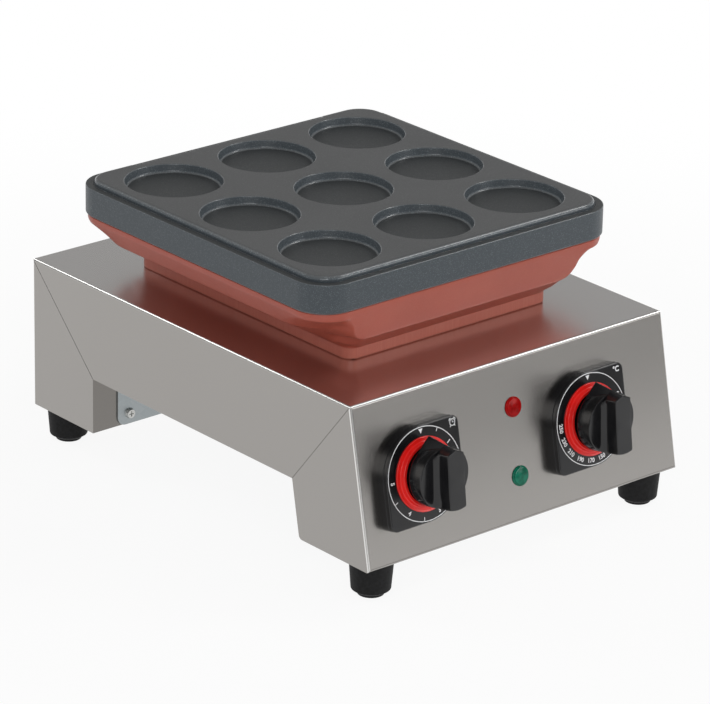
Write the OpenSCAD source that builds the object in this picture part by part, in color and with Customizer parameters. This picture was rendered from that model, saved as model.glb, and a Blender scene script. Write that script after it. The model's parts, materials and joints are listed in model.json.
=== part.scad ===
// Poffertjes maker: a folded steel body on four feet, a cast housing and a cast plate with nine cups.
// Millimetres, +Z up, front towards -Y, origin on the ground below the middle of the overall box.

/* [Body] */
// Width of the body
body_w = 250; // [246:1:300]
// Depth of the body along its top
body_d = 306; // [296:1:360]
// Height of the body above its feet
body_h = 98.5; // [96:0.5:130]
// How far the bottom of the front panel stands ahead of its top
front_lean = 20; // [10:1:26]
// Thickness of both legs and of the bridge between them
arch_t = 62; // [60:0.5:66]
// Thickness of the stainless sheet
sheet = 1; // [0.8:0.1:1.4]
// Outer radius of the bends
bend_r = 2; // [1.6:0.1:3]
// Corner radius of the side wall at the back of the front leg
toe_r = 3; // [2:0.5:5]
// Width of the flange that each side turns in along the arch
flange_w = 36; // [33:1:44]
// Width of the mitre seams on the sides
seam_w = 0.4; // [0.2:0.1:0.6]
// Depth of the mitre seams
seam_depth = 0.4; // [0.2:0.1:0.5]

/* [Arch cover] */
// Thickness of the galvanised cover
cover_t = 1; // [0.8:0.1:1.5]
// Distance of the cover's edges from the sides of the body
cover_inset = 18.8; // [16:0.2:21]
// Radius of the cover's lower corners
cover_corner_r = 6; // [3:0.5:9]
// Distance of the cover screws from the sides of the body
cover_screw_inset = 28; // [26:0.5:30]
// Height of the lower cover screws above the bottom of the legs
cover_screw_up = 7; // [6.5:0.5:14]
// Thread diameter of the cover screws
cover_screw_d = 3.5; // [3:0.1:4]
// Length of the cover screws under the head
cover_screw_len = 9; // [6:0.5:12]

/* [Feet] */
// Height of a rubber foot
foot_h = 22.5; // [20:0.5:30]
// Diameter of a foot where it meets the leg
foot_top_d = 27.2; // [25:0.1:29]
// Diameter of a foot above its chamfer
foot_low_d = 24; // [22:0.1:25]
// Diameter of the flat that stands on the table
foot_flat_d = 14; // [12:0.5:18]
// Height of the chamfer around that flat
foot_chamfer = 3.5; // [2:0.5:5]
// Distance of the feet from the sides of the body
foot_in_side = 16.3; // [15:0.1:20]
// Distance of the front feet from the bottom edge of the front panel
foot_in_front = 16.7; // [15:0.1:20]
// Distance of the rear feet from the rear of the body
foot_in_rear = 15; // [14.5:0.1:20]
// Thread diameter of the foot screws
foot_screw_d = 4; // [3.5:0.1:4.5]
// Depth of the screw recess in a foot
foot_recess = 10; // [7:0.5:13]

/* [Cast housing] */
// Distance of the middle of housing and plate from the rear of the body
plate_back = 151.7; // [149:0.1:154]
// Height of the housing
housing_h = 40.7; // [38:0.1:46]
// Half width of the housing at its foot
base_hx = 80.3; // [78:0.1:84]
// Half depth of the housing at its foot
base_hy = 100.9; // [99:0.1:104]
// Corner radius of the housing's foot
base_r = 8; // [6:0.5:12]
// Height of the upright band around the foot
base_band = 7.5; // [6:0.5:9]
// How far the rim of the housing lies inside the edge of the plate
rim_inset = 1.5; // [0.5:0.1:3]
// Corner radius of the rim
rim_r = 25; // [22:0.5:28]
// Height of the upright band of the rim
rim_band = 5; // [3:0.5:7]
// How much rounder the corners are between foot and rim
corner_swell = 18; // [10:1:22]
// How far the left and right flanks swell outwards
flank_bow = 6; // [2:0.5:7]
// Thickness of the housing's wall, measured level
housing_wall = 7; // [6:0.5:8]
// Thickness of the housing's floor
housing_floor = 6; // [5:0.5:7]
// Width of the straight chin under the front and rear rim
chin_w = 176; // [150:1:184]
// Height of the chin's lower edge above the body
chin_up = 17; // [15:0.5:20]
// How far that lower edge lies inside the edge of the plate
chin_inset = 8.5; // [7:0.5:10]
// Radius of the chin's ends
chin_r = 8; // [5:0.5:10]

/* [Cooking plate] */
// Width and depth of the plate
plate_w = 238; // [234:1:242]
// Height of the plate
plate_h = 21.8; // [20:0.1:26]
// Corner radius of the plate
plate_r = 22; // [18:0.5:26]
// Height of the raised platform above its shoulder
platform_up = 3.2; // [2:0.1:5]
// Width of the shoulder around the platform
shoulder_w = 5.5; // [4:0.1:7]
// Rounding of the plate's upper edges
edge_round = 0.9; // [0.4:0.1:1.4]
// Chamfer around the underside of the plate
plate_chamfer = 2; // [1:0.1:3]
// Thickness of the plate's side wall
plate_wall = 8; // [6:0.5:10]
// Thickness of the plate between the cups
plate_core = 11; // [10:0.5:12]
// Length of the notch in the rear edge of the platform
notch_w = 155; // [100:1:180]
// Depth of that notch
notch_depth = 1.5; // [0.5:0.1:2]
// Height of the notch's floor above the shoulder
notch_lift = 0.6; // [0.3:0.1:1.5]
// Number of cups along each side
cup_rows = 3; // [1:1:3]
// Distance between cup centres
cup_pitch = 74; // [70:0.5:75]
// Diameter of a cup
cup_d = 61; // [56:0.5:64]
// Depth of a cup
cup_depth = 5.6; // [4:0.1:6.4]
// Rounding between the floor and the wall of a cup
cup_fillet = 3.4; // [2:0.1:4]
// Rounding of the lip of a cup
cup_lip = 1.6; // [0.8:0.1:2]

/* [Tie bolts] */
// Room between the plate's bosses and the left and right walls of the housing
tie_side_gap = 4.3; // [3:0.1:6]
// Room between the plate's bosses and the front and rear walls of the housing
tie_end_gap = 1.9; // [1:0.1:4]
// Thread diameter of the tie bolts
tie_d = 6; // [5:0.5:7]
// Diameter of the plate's bosses that take the tie bolts
tie_boss_d = 14; // [12:0.5:15]
// Length of those bosses below the plate's core
tie_boss_len = 15; // [13:0.5:18]
// Length of thread in a boss
tie_grip = 10; // [8:0.5:11]
// Diameter of the washers under the bolt heads
tie_washer_d = 14; // [12:0.5:18]
// Thickness of those washers
tie_washer_t = 1.4; // [1:0.1:2]

/* [Heater] */
// Diameter of the heating tube
tube_d = 8; // [7:0.1:8.5]
// Half size of the tube's loop, to the tube's middle
loop_half = 62; // [56:0.5:64]
// Bend radius of the loop's corners
loop_r = 25; // [18:0.5:30]
// Distance of the tube's two ends from the middle plane
tube_end_x = 14; // [12:0.5:18]
// Bend radius where the ends turn down
tube_end_r = 12; // [10:0.5:16]
// Length of the upright ends below that bend
tube_drop = 5.5; // [4:0.5:6]
// Half size of the clamp plate under the tube
clamp_half = 72; // [70:0.5:74]
// Thickness of the clamp plate
clamp_t = 1.5; // [1:0.1:2]
// Distance of the clamp screws from the middle, both ways
clamp_screw_at = 37; // [34:0.5:40]
// Thread diameter of the clamp screws
clamp_screw_d = 5; // [4:0.5:5]
// Depth of the clamp screws in the plate
clamp_screw_grip = 6.5; // [5:0.5:8]
// Length of a ceramic bead at the tube's ends
bead_len = 6; // [4:0.5:6]
// Diameter of a connection pin
pin_d = 2.5; // [2:0.1:3]
// Length of a connection pin below its bead
pin_len = 2; // [1:0.5:3]
// Room between the insulation pad and the plate's bosses
pad_side_gap = 1; // [0.5:0.5:4]
// Room between the insulation pad and the front and rear walls of the housing
pad_end_gap = 13.9; // [10:0.1:30]
// Thickness of the insulation pad
pad_t = 10; // [8:0.5:11]
// Diameter of the passage for the leads through pad and clamp plate
passage_d = 30; // [28:1:34]
// Diameter of the passage through the floor of the housing and the top of the body
floor_hole_d = 24; // [23:0.5:27]
// Diameter of the thermostat's sensing bulb
bulb_d = 6; // [5:0.1:6.4]
// Length of the sensing bulb
bulb_len = 70; // [60:1:76]
// Distance of the bulb behind the middle of the plate
bulb_y = 18; // [16:0.5:22]
// Diameter of the capillary tube
capillary_d = 2; // [1.6:0.1:2.4]

/* [Controls] */
// Distance of the timer's axis from the left side of the body
timer_in = 43.4; // [41:0.1:49]
// Distance of the thermostat's axis from the right side of the body
thermostat_in = 73.2; // [45:0.1:75]
// Height of both controls up the panel
control_v = 50.8; // [46:0.1:54]
// Width and height of a bezel
bezel_w = 58.8; // [57:0.1:64]
// Thickness of a bezel
bezel_t = 8.4; // [7:0.1:9.5]
// Small corner radius of a bezel
bezel_r = 5; // [3:0.5:10]
// Outer diameter of the red ring
ring_d = 45; // [43:0.1:47]
// Diameter of the collar inside the red ring
collar_d = 38.2; // [37:0.1:39]
// Height of that collar
collar_h = 3.7; // [3:0.1:5]
// Height of the ring's outer edge
ring_edge_h = 1.2; // [1:0.1:2]
// Wall of that collar
collar_wall = 2; // [1.6:0.1:2.4]
// Diameter of a knob
knob_d = 37; // [36:0.1:38]
// Height of a knob at its pointer
knob_h = 23; // [21:0.1:25]
// Height of a knob's round skirt at its axis
skirt_h = 10.6; // [9.5:0.1:12]
// Rise of the skirt's top towards the pointer, over the whole knob
skirt_rise = 5.2; // [0:0.1:6]
// Height of a knob's underside above the ring
knob_lift = 3.1; // [2.5:0.1:3.6]
// Width of a knob's grip bar
grip_w = 12.2; // [11:0.1:14]
// Fall of the grip bar towards its plain end
grip_fall = 3; // [1:0.1:4]
// Reach of the pointer nose from the knob's axis, at the underside
nose_reach = 24.2; // [23:0.1:25]
// Reach of the pointer nose at the top
nose_top = 18; // [17:0.1:18.4]
// Where the pointer nose leaves the grip bar, from the knob's axis
nose_root = 15.7; // [14.5:0.1:16]
// Diameter of the hub inside a knob
hub_d = 12; // [11:0.5:14]
// Wall of a knob around its hollow underside
knob_wall = 2.4; // [2:0.1:3]
// Depth of that hollow
knob_hollow = 5; // [3:0.5:6]
// Diameter of a control's shaft
shaft_d = 6; // [5.5:0.1:6.5]
// Thickness of the shaft across its flat
shaft_flat = 4.6; // [4:0.1:5]
// Length of shaft inside a knob
shaft_grip = 14; // [12:0.5:16]
// Length of shaft inside a mechanism
shaft_seat = 18; // [14:0.5:20]
// Diameter of the collar that carries a shaft through the panel
bush_d = 9.8; // [9:0.1:10.4]
// Distance of a control's two screws from its axis
control_screw_at = 14; // [13.5:0.1:15]
// Thread diameter of the control screws
control_screw_d = 4; // [3.5:0.1:4]
// Length of thread of a control screw inside a mechanism
control_screw_grip = 7; // [5:0.5:8]
// Width of the timer's case
timer_w = 52; // [44:1:56]
// Depth of the timer's case behind the panel
timer_deep = 32; // [26:1:36]
// Width of the thermostat's case
thermostat_w = 42; // [40:1:46]
// Depth of the thermostat's case behind the panel
thermostat_deep = 24; // [22:1:26]
// Diameter of the thermostat's diaphragm
diaphragm_d = 36; // [30:1:38]
// Thickness of the diaphragm
diaphragm_t = 5; // [4:0.5:6]

/* [Pilot lamps] */
// Height of the red lamp up the panel
red_v = 70.8; // [66:0.1:76]
// Height of the green lamp up the panel
green_v = 28.2; // [24:0.1:34]
// Distance of both lamps from the middle of the panel, to the left
lamp_u = 2.1; // [0:0.1:4]
// Diameter of a lens
lens_d = 12.6; // [12:0.1:15]
// Height of a lens
lens_h = 2.2; // [1.9:0.1:4]
// Thickness of the lens's flange
lens_flange = 1; // [0.8:0.1:1.4]
// Diameter of a lamp's body
lamp_d = 9.8; // [9:0.1:10.4]
// Length of a lamp's body behind the face of the panel
lamp_len = 26; // [20:1:30]
// Diameter of a push-on nut
lamp_nut_d = 16; // [14:0.5:18]
// Thickness of a push-on nut
lamp_nut_t = 3; // [2:0.5:4]

/* [Supply] */
// Distance of the cable gland from the right side of the body
gland_in = 55; // [45:1:70]
// Height of the gland above the bottom of the legs
gland_up = 42; // [34:1:46]
// Thread diameter of the gland
gland_d = 16; // [14:0.5:18]
// Width across the flats of the gland and of its nut
gland_flats = 22; // [20:0.5:24]
// Bore of the gland
gland_bore = 8; // [6:0.5:9]
// Thickness of the gland's flange
gland_flange = 5; // [4:0.5:6]
// How far the gland stands out from the rear
gland_out = 14; // [12:0.5:18]
// Length of the gland's thread
gland_thread = 12; // [10:0.5:14]
// Thickness of the gland's nut
gland_nut_t = 5; // [4:0.5:6]
// Length of the terminal block across the body
terminal_len = 46; // [42:1:60]
// Depth of the terminal block
terminal_deep = 20; // [16:1:26]
// Height of the terminal block
terminal_h = 18; // [14:1:22]
// Distance of the terminal block's screws from its middle
terminal_screw_at = 18; // [16:0.5:19]
// Thread diameter of the terminal block's screws
terminal_screw_d = 3; // [2.5:0.1:3.5]
// Distance of the earth stud from the left side of the body
earth_in = 55; // [35:1:75]
// Thread diameter of the earth stud
earth_d = 5; // [4:0.5:6]
// Length of the earth stud
earth_len = 16; // [14:1:20]
// Diameter of the leads
lead_d = 3; // [2:0.1:3.4]

/* [Fits] */
// Radial clearance of a turning shaft
run_gap = 0.05; // [0.03:0.01:0.09]
// Radial clearance of screws, spigots and other fixed fits
fit_gap = 0.1; // [0.05:0.01:0.2]

/* [Hidden] */
$fn = 64;

steel = "#95928d";
zinc = "#b4b8bc";
bolt_grey = "#8a8c90";
rubber = "#1e1e1e";
casting = "#8f4a3c";
coating = "#505457";
gloss_black = "#17181a";
ring_red = "#d8261c";
ceramic = "#e8e2d4";
copper = "#b87345";
wool = "#d8cda8";
red_glass = "#a01010";
green_glass = "#0a7a55";
lead_sleeve = "#c8c0b0";

// Levels and slopes that most pieces share
lean_a = atan(front_lean / body_h);
leg_z = foot_h;
top_z = foot_h + body_h;
bridge_z = top_z - arch_t;
leg_deep = arch_t / cos(lean_a);
reach = 2 * (body_d + body_w + body_h);

// The middle of the overall box lies halfway between the gland's end and the knobs' front edge
knob_base_w = bezel_t + collar_h + knob_lift;
knob_front_w = knob_base_w + knob_h - grip_fall;
knob_ahead = knob_front_w * cos(lean_a) + (knob_d / 2 - control_v) * sin(lean_a);
rear_y = (body_d + front_lean + knob_ahead - gland_out) / 2;
front_y = rear_y - body_d;
toe_y = front_y - front_lean;
plate_y = rear_y - plate_back;

// Places across the body, from its middle plane
timer_u = body_w / 2 - timer_in;
thermostat_u = body_w / 2 - thermostat_in;
gland_x = body_w / 2 - gland_in;
earth_x = body_w / 2 - earth_in;

// The tie bolts stand inside the housing, and the insulation lies between them
tie_x = base_hx - housing_wall - tie_boss_d / 2 - tie_side_gap;
tie_y = base_hy - housing_wall - tie_boss_d / 2 - tie_end_gap;
pad_hx = tie_x - tie_boss_d / 2 - pad_side_gap;
pad_hy = base_hy - housing_wall - pad_end_gap;

// Heights of the cooking head, from the ground
rim_top_z = top_z + housing_h;
core_z = rim_top_z + plate_h - plate_core;
tube_z = core_z - fit_gap - tube_d / 2;
clamp_z = tube_z - tube_d / 2 - fit_gap;
tube_end_z = tube_z - tube_end_r - tube_drop;
pin_end_z = tube_end_z - bead_len - pin_len;
pad_z = top_z + housing_floor;
rim_half = plate_w / 2 - rim_inset;
rim_low = housing_h - rim_band;
cavity_half = plate_w / 2 - plate_wall;

// Screw heads and nuts in proportion to their thread
head_ratio = 2;
head_taper = 0.8;
head_height_ratio = 0.6;
nut_flats_ratio = 1.75;
nut_height_ratio = 0.8;
cross_ratio = 0.25;
ball_ratio = 1.3;

function unit(v) = v / norm(v);
function left_of(a, b) = let (u = unit(b - a)) [-u[1], u[0]];
function turned(v, a) = [v[0] * cos(a) - v[1] * sin(a), v[0] * sin(a) + v[1] * cos(a)];
function before(p, i) = p[(i + len(p) - 1) % len(p)];
function after(p, i) = p[(i + 1) % len(p)];

// Direction from corner i towards the inside of an outline that runs anticlockwise
function inward(p, i) =
    let (n1 = left_of(before(p, i), p[i]), n2 = left_of(p[i], after(p, i)))
    (n1 + n2) / (1 + n1 * n2);

// The outline p with every side moved inwards by d
function inset(p, d) = [for (i = [0 : len(p) - 1]) p[i] + d * inward(p, i)];

// The outline p with corner i rounded to radii[i]
function rounded(p, radii, steps = 8) = [
    for (i = [0 : len(p) - 1])
        let (
            n1 = left_of(before(p, i), p[i]),
            n2 = left_of(p[i], after(p, i)),
            turn = atan2(n1[0] * n2[1] - n1[1] * n2[0], n1 * n2),
            r = radii[i] * sign(turn),
            middle = p[i] + r * inward(p, i)
        )
        each radii[i] > 0
            ? [for (k = [0 : steps]) middle - r * turned(n1, turn * k / steps)]
            : [p[i]]
];

function box(hx, hy) = [[-hx, -hy], [hx, -hy], [hx, hy], [-hx, hy]];
function front_at(z) = toe_y + front_lean * (z - leg_z) / body_h;

// Side view of the body, anticlockwise from the rear bottom corner
arch = [
    [rear_y, leg_z],
    [rear_y, top_z],
    [front_y, top_z],
    [toe_y, leg_z],
    [toe_y + leg_deep, leg_z],
    [front_at(bridge_z) + leg_deep, bridge_z],
    [rear_y - arch_t, bridge_z],
    [rear_y - arch_t, leg_z]
];
arch_r = [bend_r, bend_r, bend_r, bend_r, toe_r, 0, 0, 0];

// A closed ring of a loft: half width, half depth, corner radius, height, swell of the two flanks
corner_steps = 8;
function ring(c, flank_steps) = [
    for (q = [0 : 3])
        let (
            sx = [1, -1, -1, 1][q] * (c[0] - c[2]),
            sy = [1, 1, -1, -1][q] * (c[1] - c[2]),
            out = sign(sx) * c[0]
        )
        each concat(
            [for (k = [0 : corner_steps])
                let (a = 90 * q + 90 * k / corner_steps)
                [sx + c[2] * cos(a), sy + c[2] * sin(a), c[3]]],
            [for (k = [1 : 1 : (flank_steps - 1) * (q % 2)])
                let (t = k / flank_steps)
                [out + sign(sx) * c[4] * 4 * t * (1 - t), sy * (1 - 2 * t), c[3]]]
        )
];

// A solid through layers with one number of points each, closed by the first and the last of them
module stack(layers) {
    n = len(layers[0]);
    last = len(layers) - 1;
    spots = [for (i = [0 : last - 1], j = [0 : n - 1]) [i * n + j, i * n + (j + 1) % n]];
    polyhedron(
        points = [for (l = layers) each l],
        faces = concat(
            [[for (j = [0 : n - 1]) j]],
            [for (s = spots) [s[0], s[0] + n, s[1] + n]],
            [for (s = spots) [s[0], s[1] + n, s[1]]],
            [[for (j = [n - 1 : -1 : 0]) last * n + j]]
        ),
        convexity = 8
    );
}

// A solid through the given rings
module loft(rings, flank_steps = 1) {
    stack([for (c = rings) ring(c, flank_steps)]);
}

module along_x(length) {
    translate([-length / 2, 0, 0]) rotate([90, 0, 90]) linear_extrude(length) children();
}

// Places its children on the face of the front panel: x to the right, y up the slope, z outwards
module on_panel(u = 0, v = 0, w = 0) {
    translate([u, toe_y + v * sin(lean_a), leg_z + v * cos(lean_a)])
        rotate([90 - lean_a, 0, 0]) translate([0, 0, w]) children();
}

module on_plate(z) {
    translate([0, plate_y, z]) children();
}

module four(x, y) {
    for (sx = [-1, 1], sy = [-1, 1]) translate([sx * x, sy * y, 0]) children();
}

module hole(d, h) {
    translate([0, 0, -h / 2]) cylinder(d = d + 2 * fit_gap, h = h);
}

// A cross-head screw that hangs from its seat at z = 0
module screw(d, length) {
    head = d * head_height_ratio;
    difference() {
        union() {
            translate([0, 0, -length]) cylinder(d = d, h = length);
            cylinder(d1 = d * head_ratio, d2 = d * head_ratio * head_taper, h = head);
        }
        for (a = [0, 90])
            rotate(a) translate([-d / 2, -d * cross_ratio / 2, head / 2]) cube([d, d * cross_ratio, head]);
    }
}

// A hexagon nut that stands on z = 0
module nut(d) {
    difference() {
        cylinder(d = d * nut_flats_ratio / cos(30), h = d * nut_height_ratio, $fn = 6);
        hole(d, 4 * d);
    }
}

// A tube along the given points, with ball joints at the corners
module run(points, d) {
    for (i = [0 : len(points) - 2]) {
        v = points[i + 1] - points[i];
        translate(points[i])
            rotate([0, acos(v[2] / norm(v)), atan2(v[1], v[0])])
                cylinder(d = d, h = norm(v));
    }
    for (i = [1 : 1 : len(points) - 2])
        translate(points[i]) sphere(d = d * ball_ratio);
}

// The folded body as a solid whose faces lie gap inside the outer faces
module body_form(gap) {
    w = body_w / 2 - gap;
    r = bend_r - gap;
    back = rear_y - gap;
    intersection() {
        along_x(body_w + 2 * sheet) polygon(rounded(inset(arch, gap), [for (a = arch_r) max(a - gap, 0)]));
        rotate([90, 0, 0]) linear_extrude(reach, center = true)
            polygon(rounded([[-w, 0], [w, 0], [w, top_z - gap], [-w, top_z - gap]], [0, 0, r, r]));
        linear_extrude(reach, center = true)
            polygon(rounded([[-w, -reach], [w, -reach], [w, back], [-w, back]], [0, 0, r, r]));
        on_panel() rotate([90, 0, 0]) linear_extrude(reach, center = true)
            polygon(rounded([[-w, -reach], [w, -reach], [w, -gap], [-w, -gap]], [0, 0, r, r]));
    }
}

// The opening between the flanges, from the bottom plate of one leg to that of the other
module arch_opening() {
    inner = inset(arch, 1.5 * sheet);
    outer = inset(arch, -2 * sheet);
    low = leg_z + 1.5 * sheet;
    along_x(body_w - 2 * flange_w)
        polygon([
            [inner[7][0], low], inner[6], inner[5], [inner[4][0], low],
            [outer[4][0], low], outer[5], outer[6], [outer[7][0], low]
        ]);
}

// A seam in both side walls from point a to point b of the side view
module seam(a, b) {
    for (s = [-1, 1])
        translate([s * body_w / 2, a[0], a[1]])
            rotate([atan2(b[1] - a[1], b[0] - a[0]), 0, 0])
                translate([-seam_depth, 0, -seam_w / 2]) cube([2 * seam_depth, norm(b - a), seam_w]);
}

module at_cover_screws() {
    for (s = [-1, 1]) {
        x = s * (body_w / 2 - cover_screw_inset);
        translate([x, rear_y - arch_t - cover_t, leg_z + cover_screw_up]) rotate([90, 0, 0]) children();
        translate([x, (arch[5][0] + arch[6][0]) / 2, bridge_z - cover_t]) rotate([180, 0, 0]) children();
        on_panel(x, cover_screw_up + toe_r + arch_t * tan(lean_a), -arch_t - cover_t)
            rotate([180, 0, 0]) children();
    }
}

module at_foot(side, front) {
    y = front ? toe_y + foot_in_front : rear_y - foot_in_rear;
    translate([side * (body_w / 2 - foot_in_side), y, 0]) children();
}

module at_feet() {
    for (side = [-1, 1], front = [true, false]) at_foot(side, front) children();
}

module at_controls() {
    on_panel(-timer_u, control_v) children();
    on_panel(thermostat_u, control_v) children();
}

module at_lamps() {
    on_panel(-lamp_u, red_v) children();
    on_panel(-lamp_u, green_v) children();
}

module control_pair() {
    for (s = [-1, 1]) translate([s * control_screw_at, 0, 0]) children();
}

module at_terminal() {
    translate([0, rear_y - arch_t / 2, leg_z + sheet]) children();
}

module terminal_pair() {
    for (s = [-1, 1]) translate([s * terminal_screw_at, 0, 0]) children();
}

module at_gland() {
    translate([gland_x, rear_y, leg_z + gland_up]) rotate([-90, 0, 0]) children();
}

module body_shell() {
    color(steel) difference() {
        body_form(0);
        body_form(sheet);
        arch_opening();
        seam(arch[1], arch[6]);
        seam(arch[2], arch[5]);
        on_plate(top_z) hole(floor_hole_d, 4 * sheet);
        on_plate(top_z) four(tie_x, tie_y) hole(tie_d, 4 * sheet);
        at_controls() hole(bush_d, 4 * sheet);
        at_controls() control_pair() hole(control_screw_d, 4 * sheet);
        at_lamps() hole(lamp_d, 4 * sheet);
        at_gland() hole(gland_d, 4 * sheet);
        at_feet() translate([0, 0, leg_z]) hole(foot_screw_d, 4 * sheet);
        at_terminal() terminal_pair() hole(terminal_screw_d, 4 * sheet);
        at_cover_screws() hole(cover_screw_d, 4 * (sheet + cover_t));
    }
}

module bottom_cover() {
    outer = inset(arch, -cover_t);
    front_low = leg_z + toe_r;
    front_wall_y = front_at(front_low) + leg_deep;
    edge = body_w / 2 - cover_inset;
    color(zinc) difference() {
        along_x(2 * edge)
            polygon([
                [front_wall_y, front_low], arch[5], arch[6], arch[7],
                [arch[7][0] - cover_t, leg_z], outer[6], outer[5],
                [front_wall_y + cover_t / cos(lean_a), front_low]
            ]);
        for (s = [-1, 1])
            translate([s * (edge - cover_corner_r), rear_y - arch_t, leg_z + cover_corner_r])
                rotate([90, 0, 0]) difference() {
                    translate([s > 0 ? 0 : -2 * cover_corner_r, -2 * cover_corner_r, -sheet])
                        cube([2 * cover_corner_r, 2 * cover_corner_r, 4 * cover_t]);
                    translate([0, 0, -2 * sheet]) cylinder(r = cover_corner_r, h = 8 * cover_t);
                }
        at_cover_screws() hole(cover_screw_d, 4 * (sheet + cover_t));
    }
}

module cover_screws() {
    color(bolt_grey) at_cover_screws() screw(cover_screw_d, cover_screw_len);
}

module foot() {
    screw_r = foot_screw_d / 2 + fit_gap;
    recess_r = foot_screw_d * head_ratio / 2 + 3 * fit_gap;
    color(rubber) rotate_extrude()
        polygon([
            [recess_r, 0], [foot_flat_d / 2, 0], [foot_low_d / 2, foot_chamfer], [foot_top_d / 2, foot_h],
            [screw_r, foot_h], [screw_r, foot_recess], [recess_r, foot_recess]
        ]);
}

module foot_front_left() { at_foot(-1, true) foot(); }
module foot_front_right() { at_foot(1, true) foot(); }
module foot_rear_left() { at_foot(-1, false) foot(); }
module foot_rear_right() { at_foot(1, false) foot(); }

module foot_screws() {
    length = foot_h - foot_recess + sheet + foot_screw_d;
    color(bolt_grey) at_feet() translate([0, 0, foot_recess])
        rotate([180, 0, 0]) screw(foot_screw_d, length);
}

module foot_nuts() {
    color(bolt_grey) at_feet() translate([0, 0, leg_z + sheet]) nut(foot_screw_d);
}

// Outer ring of the housing at the share t of the way from its foot band up to its rim
function housing_ring(t, inside) = [
    base_hx + (rim_half - base_hx) * (1 - pow(1 - t, flank_power)) - inside,
    base_hy + (rim_half - base_hy) * t * t - inside,
    max(base_r + (rim_r - base_r) * t + corner_swell * 4 * t * (1 - t) - inside, least_r),
    base_band + (rim_low - base_band) * t,
    least_bow + flank_bow * 4 * t * (1 - t)
];
housing_steps = 8;
flank_parts = 8;
least_bow = 0.2;
least_r = 2;
flank_power = 1.25;
housing_shares = [for (k = [0 : housing_steps]) k / housing_steps];

// The straight chin under the rim at the front, and mirrored at the rear
module chin() {
    edge = plate_w / 2 - chin_inset;
    tuck = housing_wall / 2;
    sunk = 0.3;
    foot_x = base_hx - base_r / 2;
    end_x = chin_w / 2 + sunk;
    low = base_band - 2 * sunk;
    intersection() {
        along_x(chin_w)
            polygon([
                [-rim_half + sunk, rim_low + sunk], [-edge, chin_up], [-base_hy + sunk, base_band - sunk],
                [-base_hy + tuck, base_band - sunk], [-edge + tuck, rim_low + sunk]
            ]);
        linear_extrude(housing_h)
            polygon(rounded(box(chin_w / 2, rim_half), [chin_r, chin_r, 0, 0]));
        rotate([90, 0, 0]) linear_extrude(plate_w)
            polygon([
                [-foot_x, low], [foot_x, low], [end_x, chin_up],
                [end_x, housing_h], [-end_x, housing_h], [-end_x, chin_up]
            ]);
    }
}

module plate_housing() {
    rim_in = rim_half - housing_wall;
    inner_r = max(base_r - housing_wall, least_r);
    color(casting) on_plate(top_z) difference() {
        union() {
            loft(concat(
                [[base_hx, base_hy, base_r, 0, least_bow]],
                [for (t = housing_shares) housing_ring(t, 0)],
                [[rim_half, rim_half, rim_r, housing_h, least_bow]],
                [[rim_in, rim_in, rim_r - housing_wall, housing_h, least_bow]],
                [for (k = [0 : housing_steps]) housing_ring(1 - housing_shares[k], housing_wall)],
                [[base_hx - housing_wall, base_hy - housing_wall, inner_r, housing_floor, least_bow]]
            ), flank_parts);
            chin();
            mirror([0, 1, 0]) chin();
        }
        hole(floor_hole_d, 4 * housing_floor);
        four(tie_x, tie_y) hole(tie_d, 4 * housing_floor);
    }
}

function plate_ring(inside, z) = [plate_w / 2 - inside, plate_w / 2 - inside, plate_r - inside, z, 0];

module cup() {
    lift = 1;
    r = cup_d / 2;
    color(coating) rotate_extrude()
        polygon(rounded(
            [[0, -cup_depth], [r - lift, -cup_depth], [r, 0], [r + 4 * lift, lift], [0, lift]],
            [0, cup_fillet, cup_lip, 0, 0], 5
        ));
}

module cooking_plate() {
    shoulder = plate_h - platform_up;
    core = plate_h - plate_core;
    middle = (cup_rows - 1) / 2;
    lap = 1;
    color(coating) on_plate(rim_top_z) difference() {
        union() {
            loft([
                plate_ring(plate_chamfer, 0),
                plate_ring(0, plate_chamfer),
                plate_ring(0, shoulder - edge_round),
                plate_ring(edge_round, shoulder)
            ]);
            loft([
                plate_ring(shoulder_w, shoulder - lap),
                plate_ring(shoulder_w, plate_h - edge_round),
                plate_ring(shoulder_w + edge_round, plate_h)
            ]);
        }
        translate([0, 0, -lap]) linear_extrude(core + lap)
            polygon(rounded(box(cavity_half, cavity_half), [1, 1, 1, 1] * (plate_r - plate_wall)));
        for (i = [0 : cup_rows - 1], j = [0 : cup_rows - 1])
            translate([(i - middle) * cup_pitch, (j - middle) * cup_pitch, plate_h]) cup();
        translate([-notch_w / 2, plate_w / 2 - shoulder_w - notch_depth, shoulder + notch_lift])
            cube([notch_w, 2 * shoulder_w, 2 * platform_up]);
        four(clamp_screw_at, clamp_screw_at)
            translate([0, 0, core]) hole(clamp_screw_d, 2 * (clamp_screw_grip + lap / 2));
    }
    color(coating) on_plate(core_z - tie_boss_len) four(tie_x, tie_y) difference() {
        cylinder(d = tie_boss_d, h = tie_boss_len + lap);
        hole(tie_d, 2 * (tie_grip + lap));
    }
}

tie_seat_z = top_z - sheet - tie_washer_t;

module tie_bolts() {
    length = core_z - tie_boss_len + tie_grip - tie_seat_z;
    color(bolt_grey) on_plate(tie_seat_z) four(tie_x, tie_y) {
        cylinder(d = tie_d, h = length);
        mirror([0, 0, 1])
            cylinder(d = tie_d * nut_flats_ratio / cos(30), h = tie_d * head_height_ratio, $fn = 6);
    }
}

module tie_washers() {
    color(bolt_grey) on_plate(tie_seat_z) four(tie_x, tie_y) difference() {
        cylinder(d = tie_washer_d, h = tie_washer_t);
        hole(tie_d, 4 * tie_washer_t);
    }
}

// A quarter bend of the heating tube, from +Y at x = r round to +X at y = r, seen from above
module tube_bend(r) {
    rotate_extrude(angle = 90) translate([r, 0]) circle(d = tube_d);
}

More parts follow.
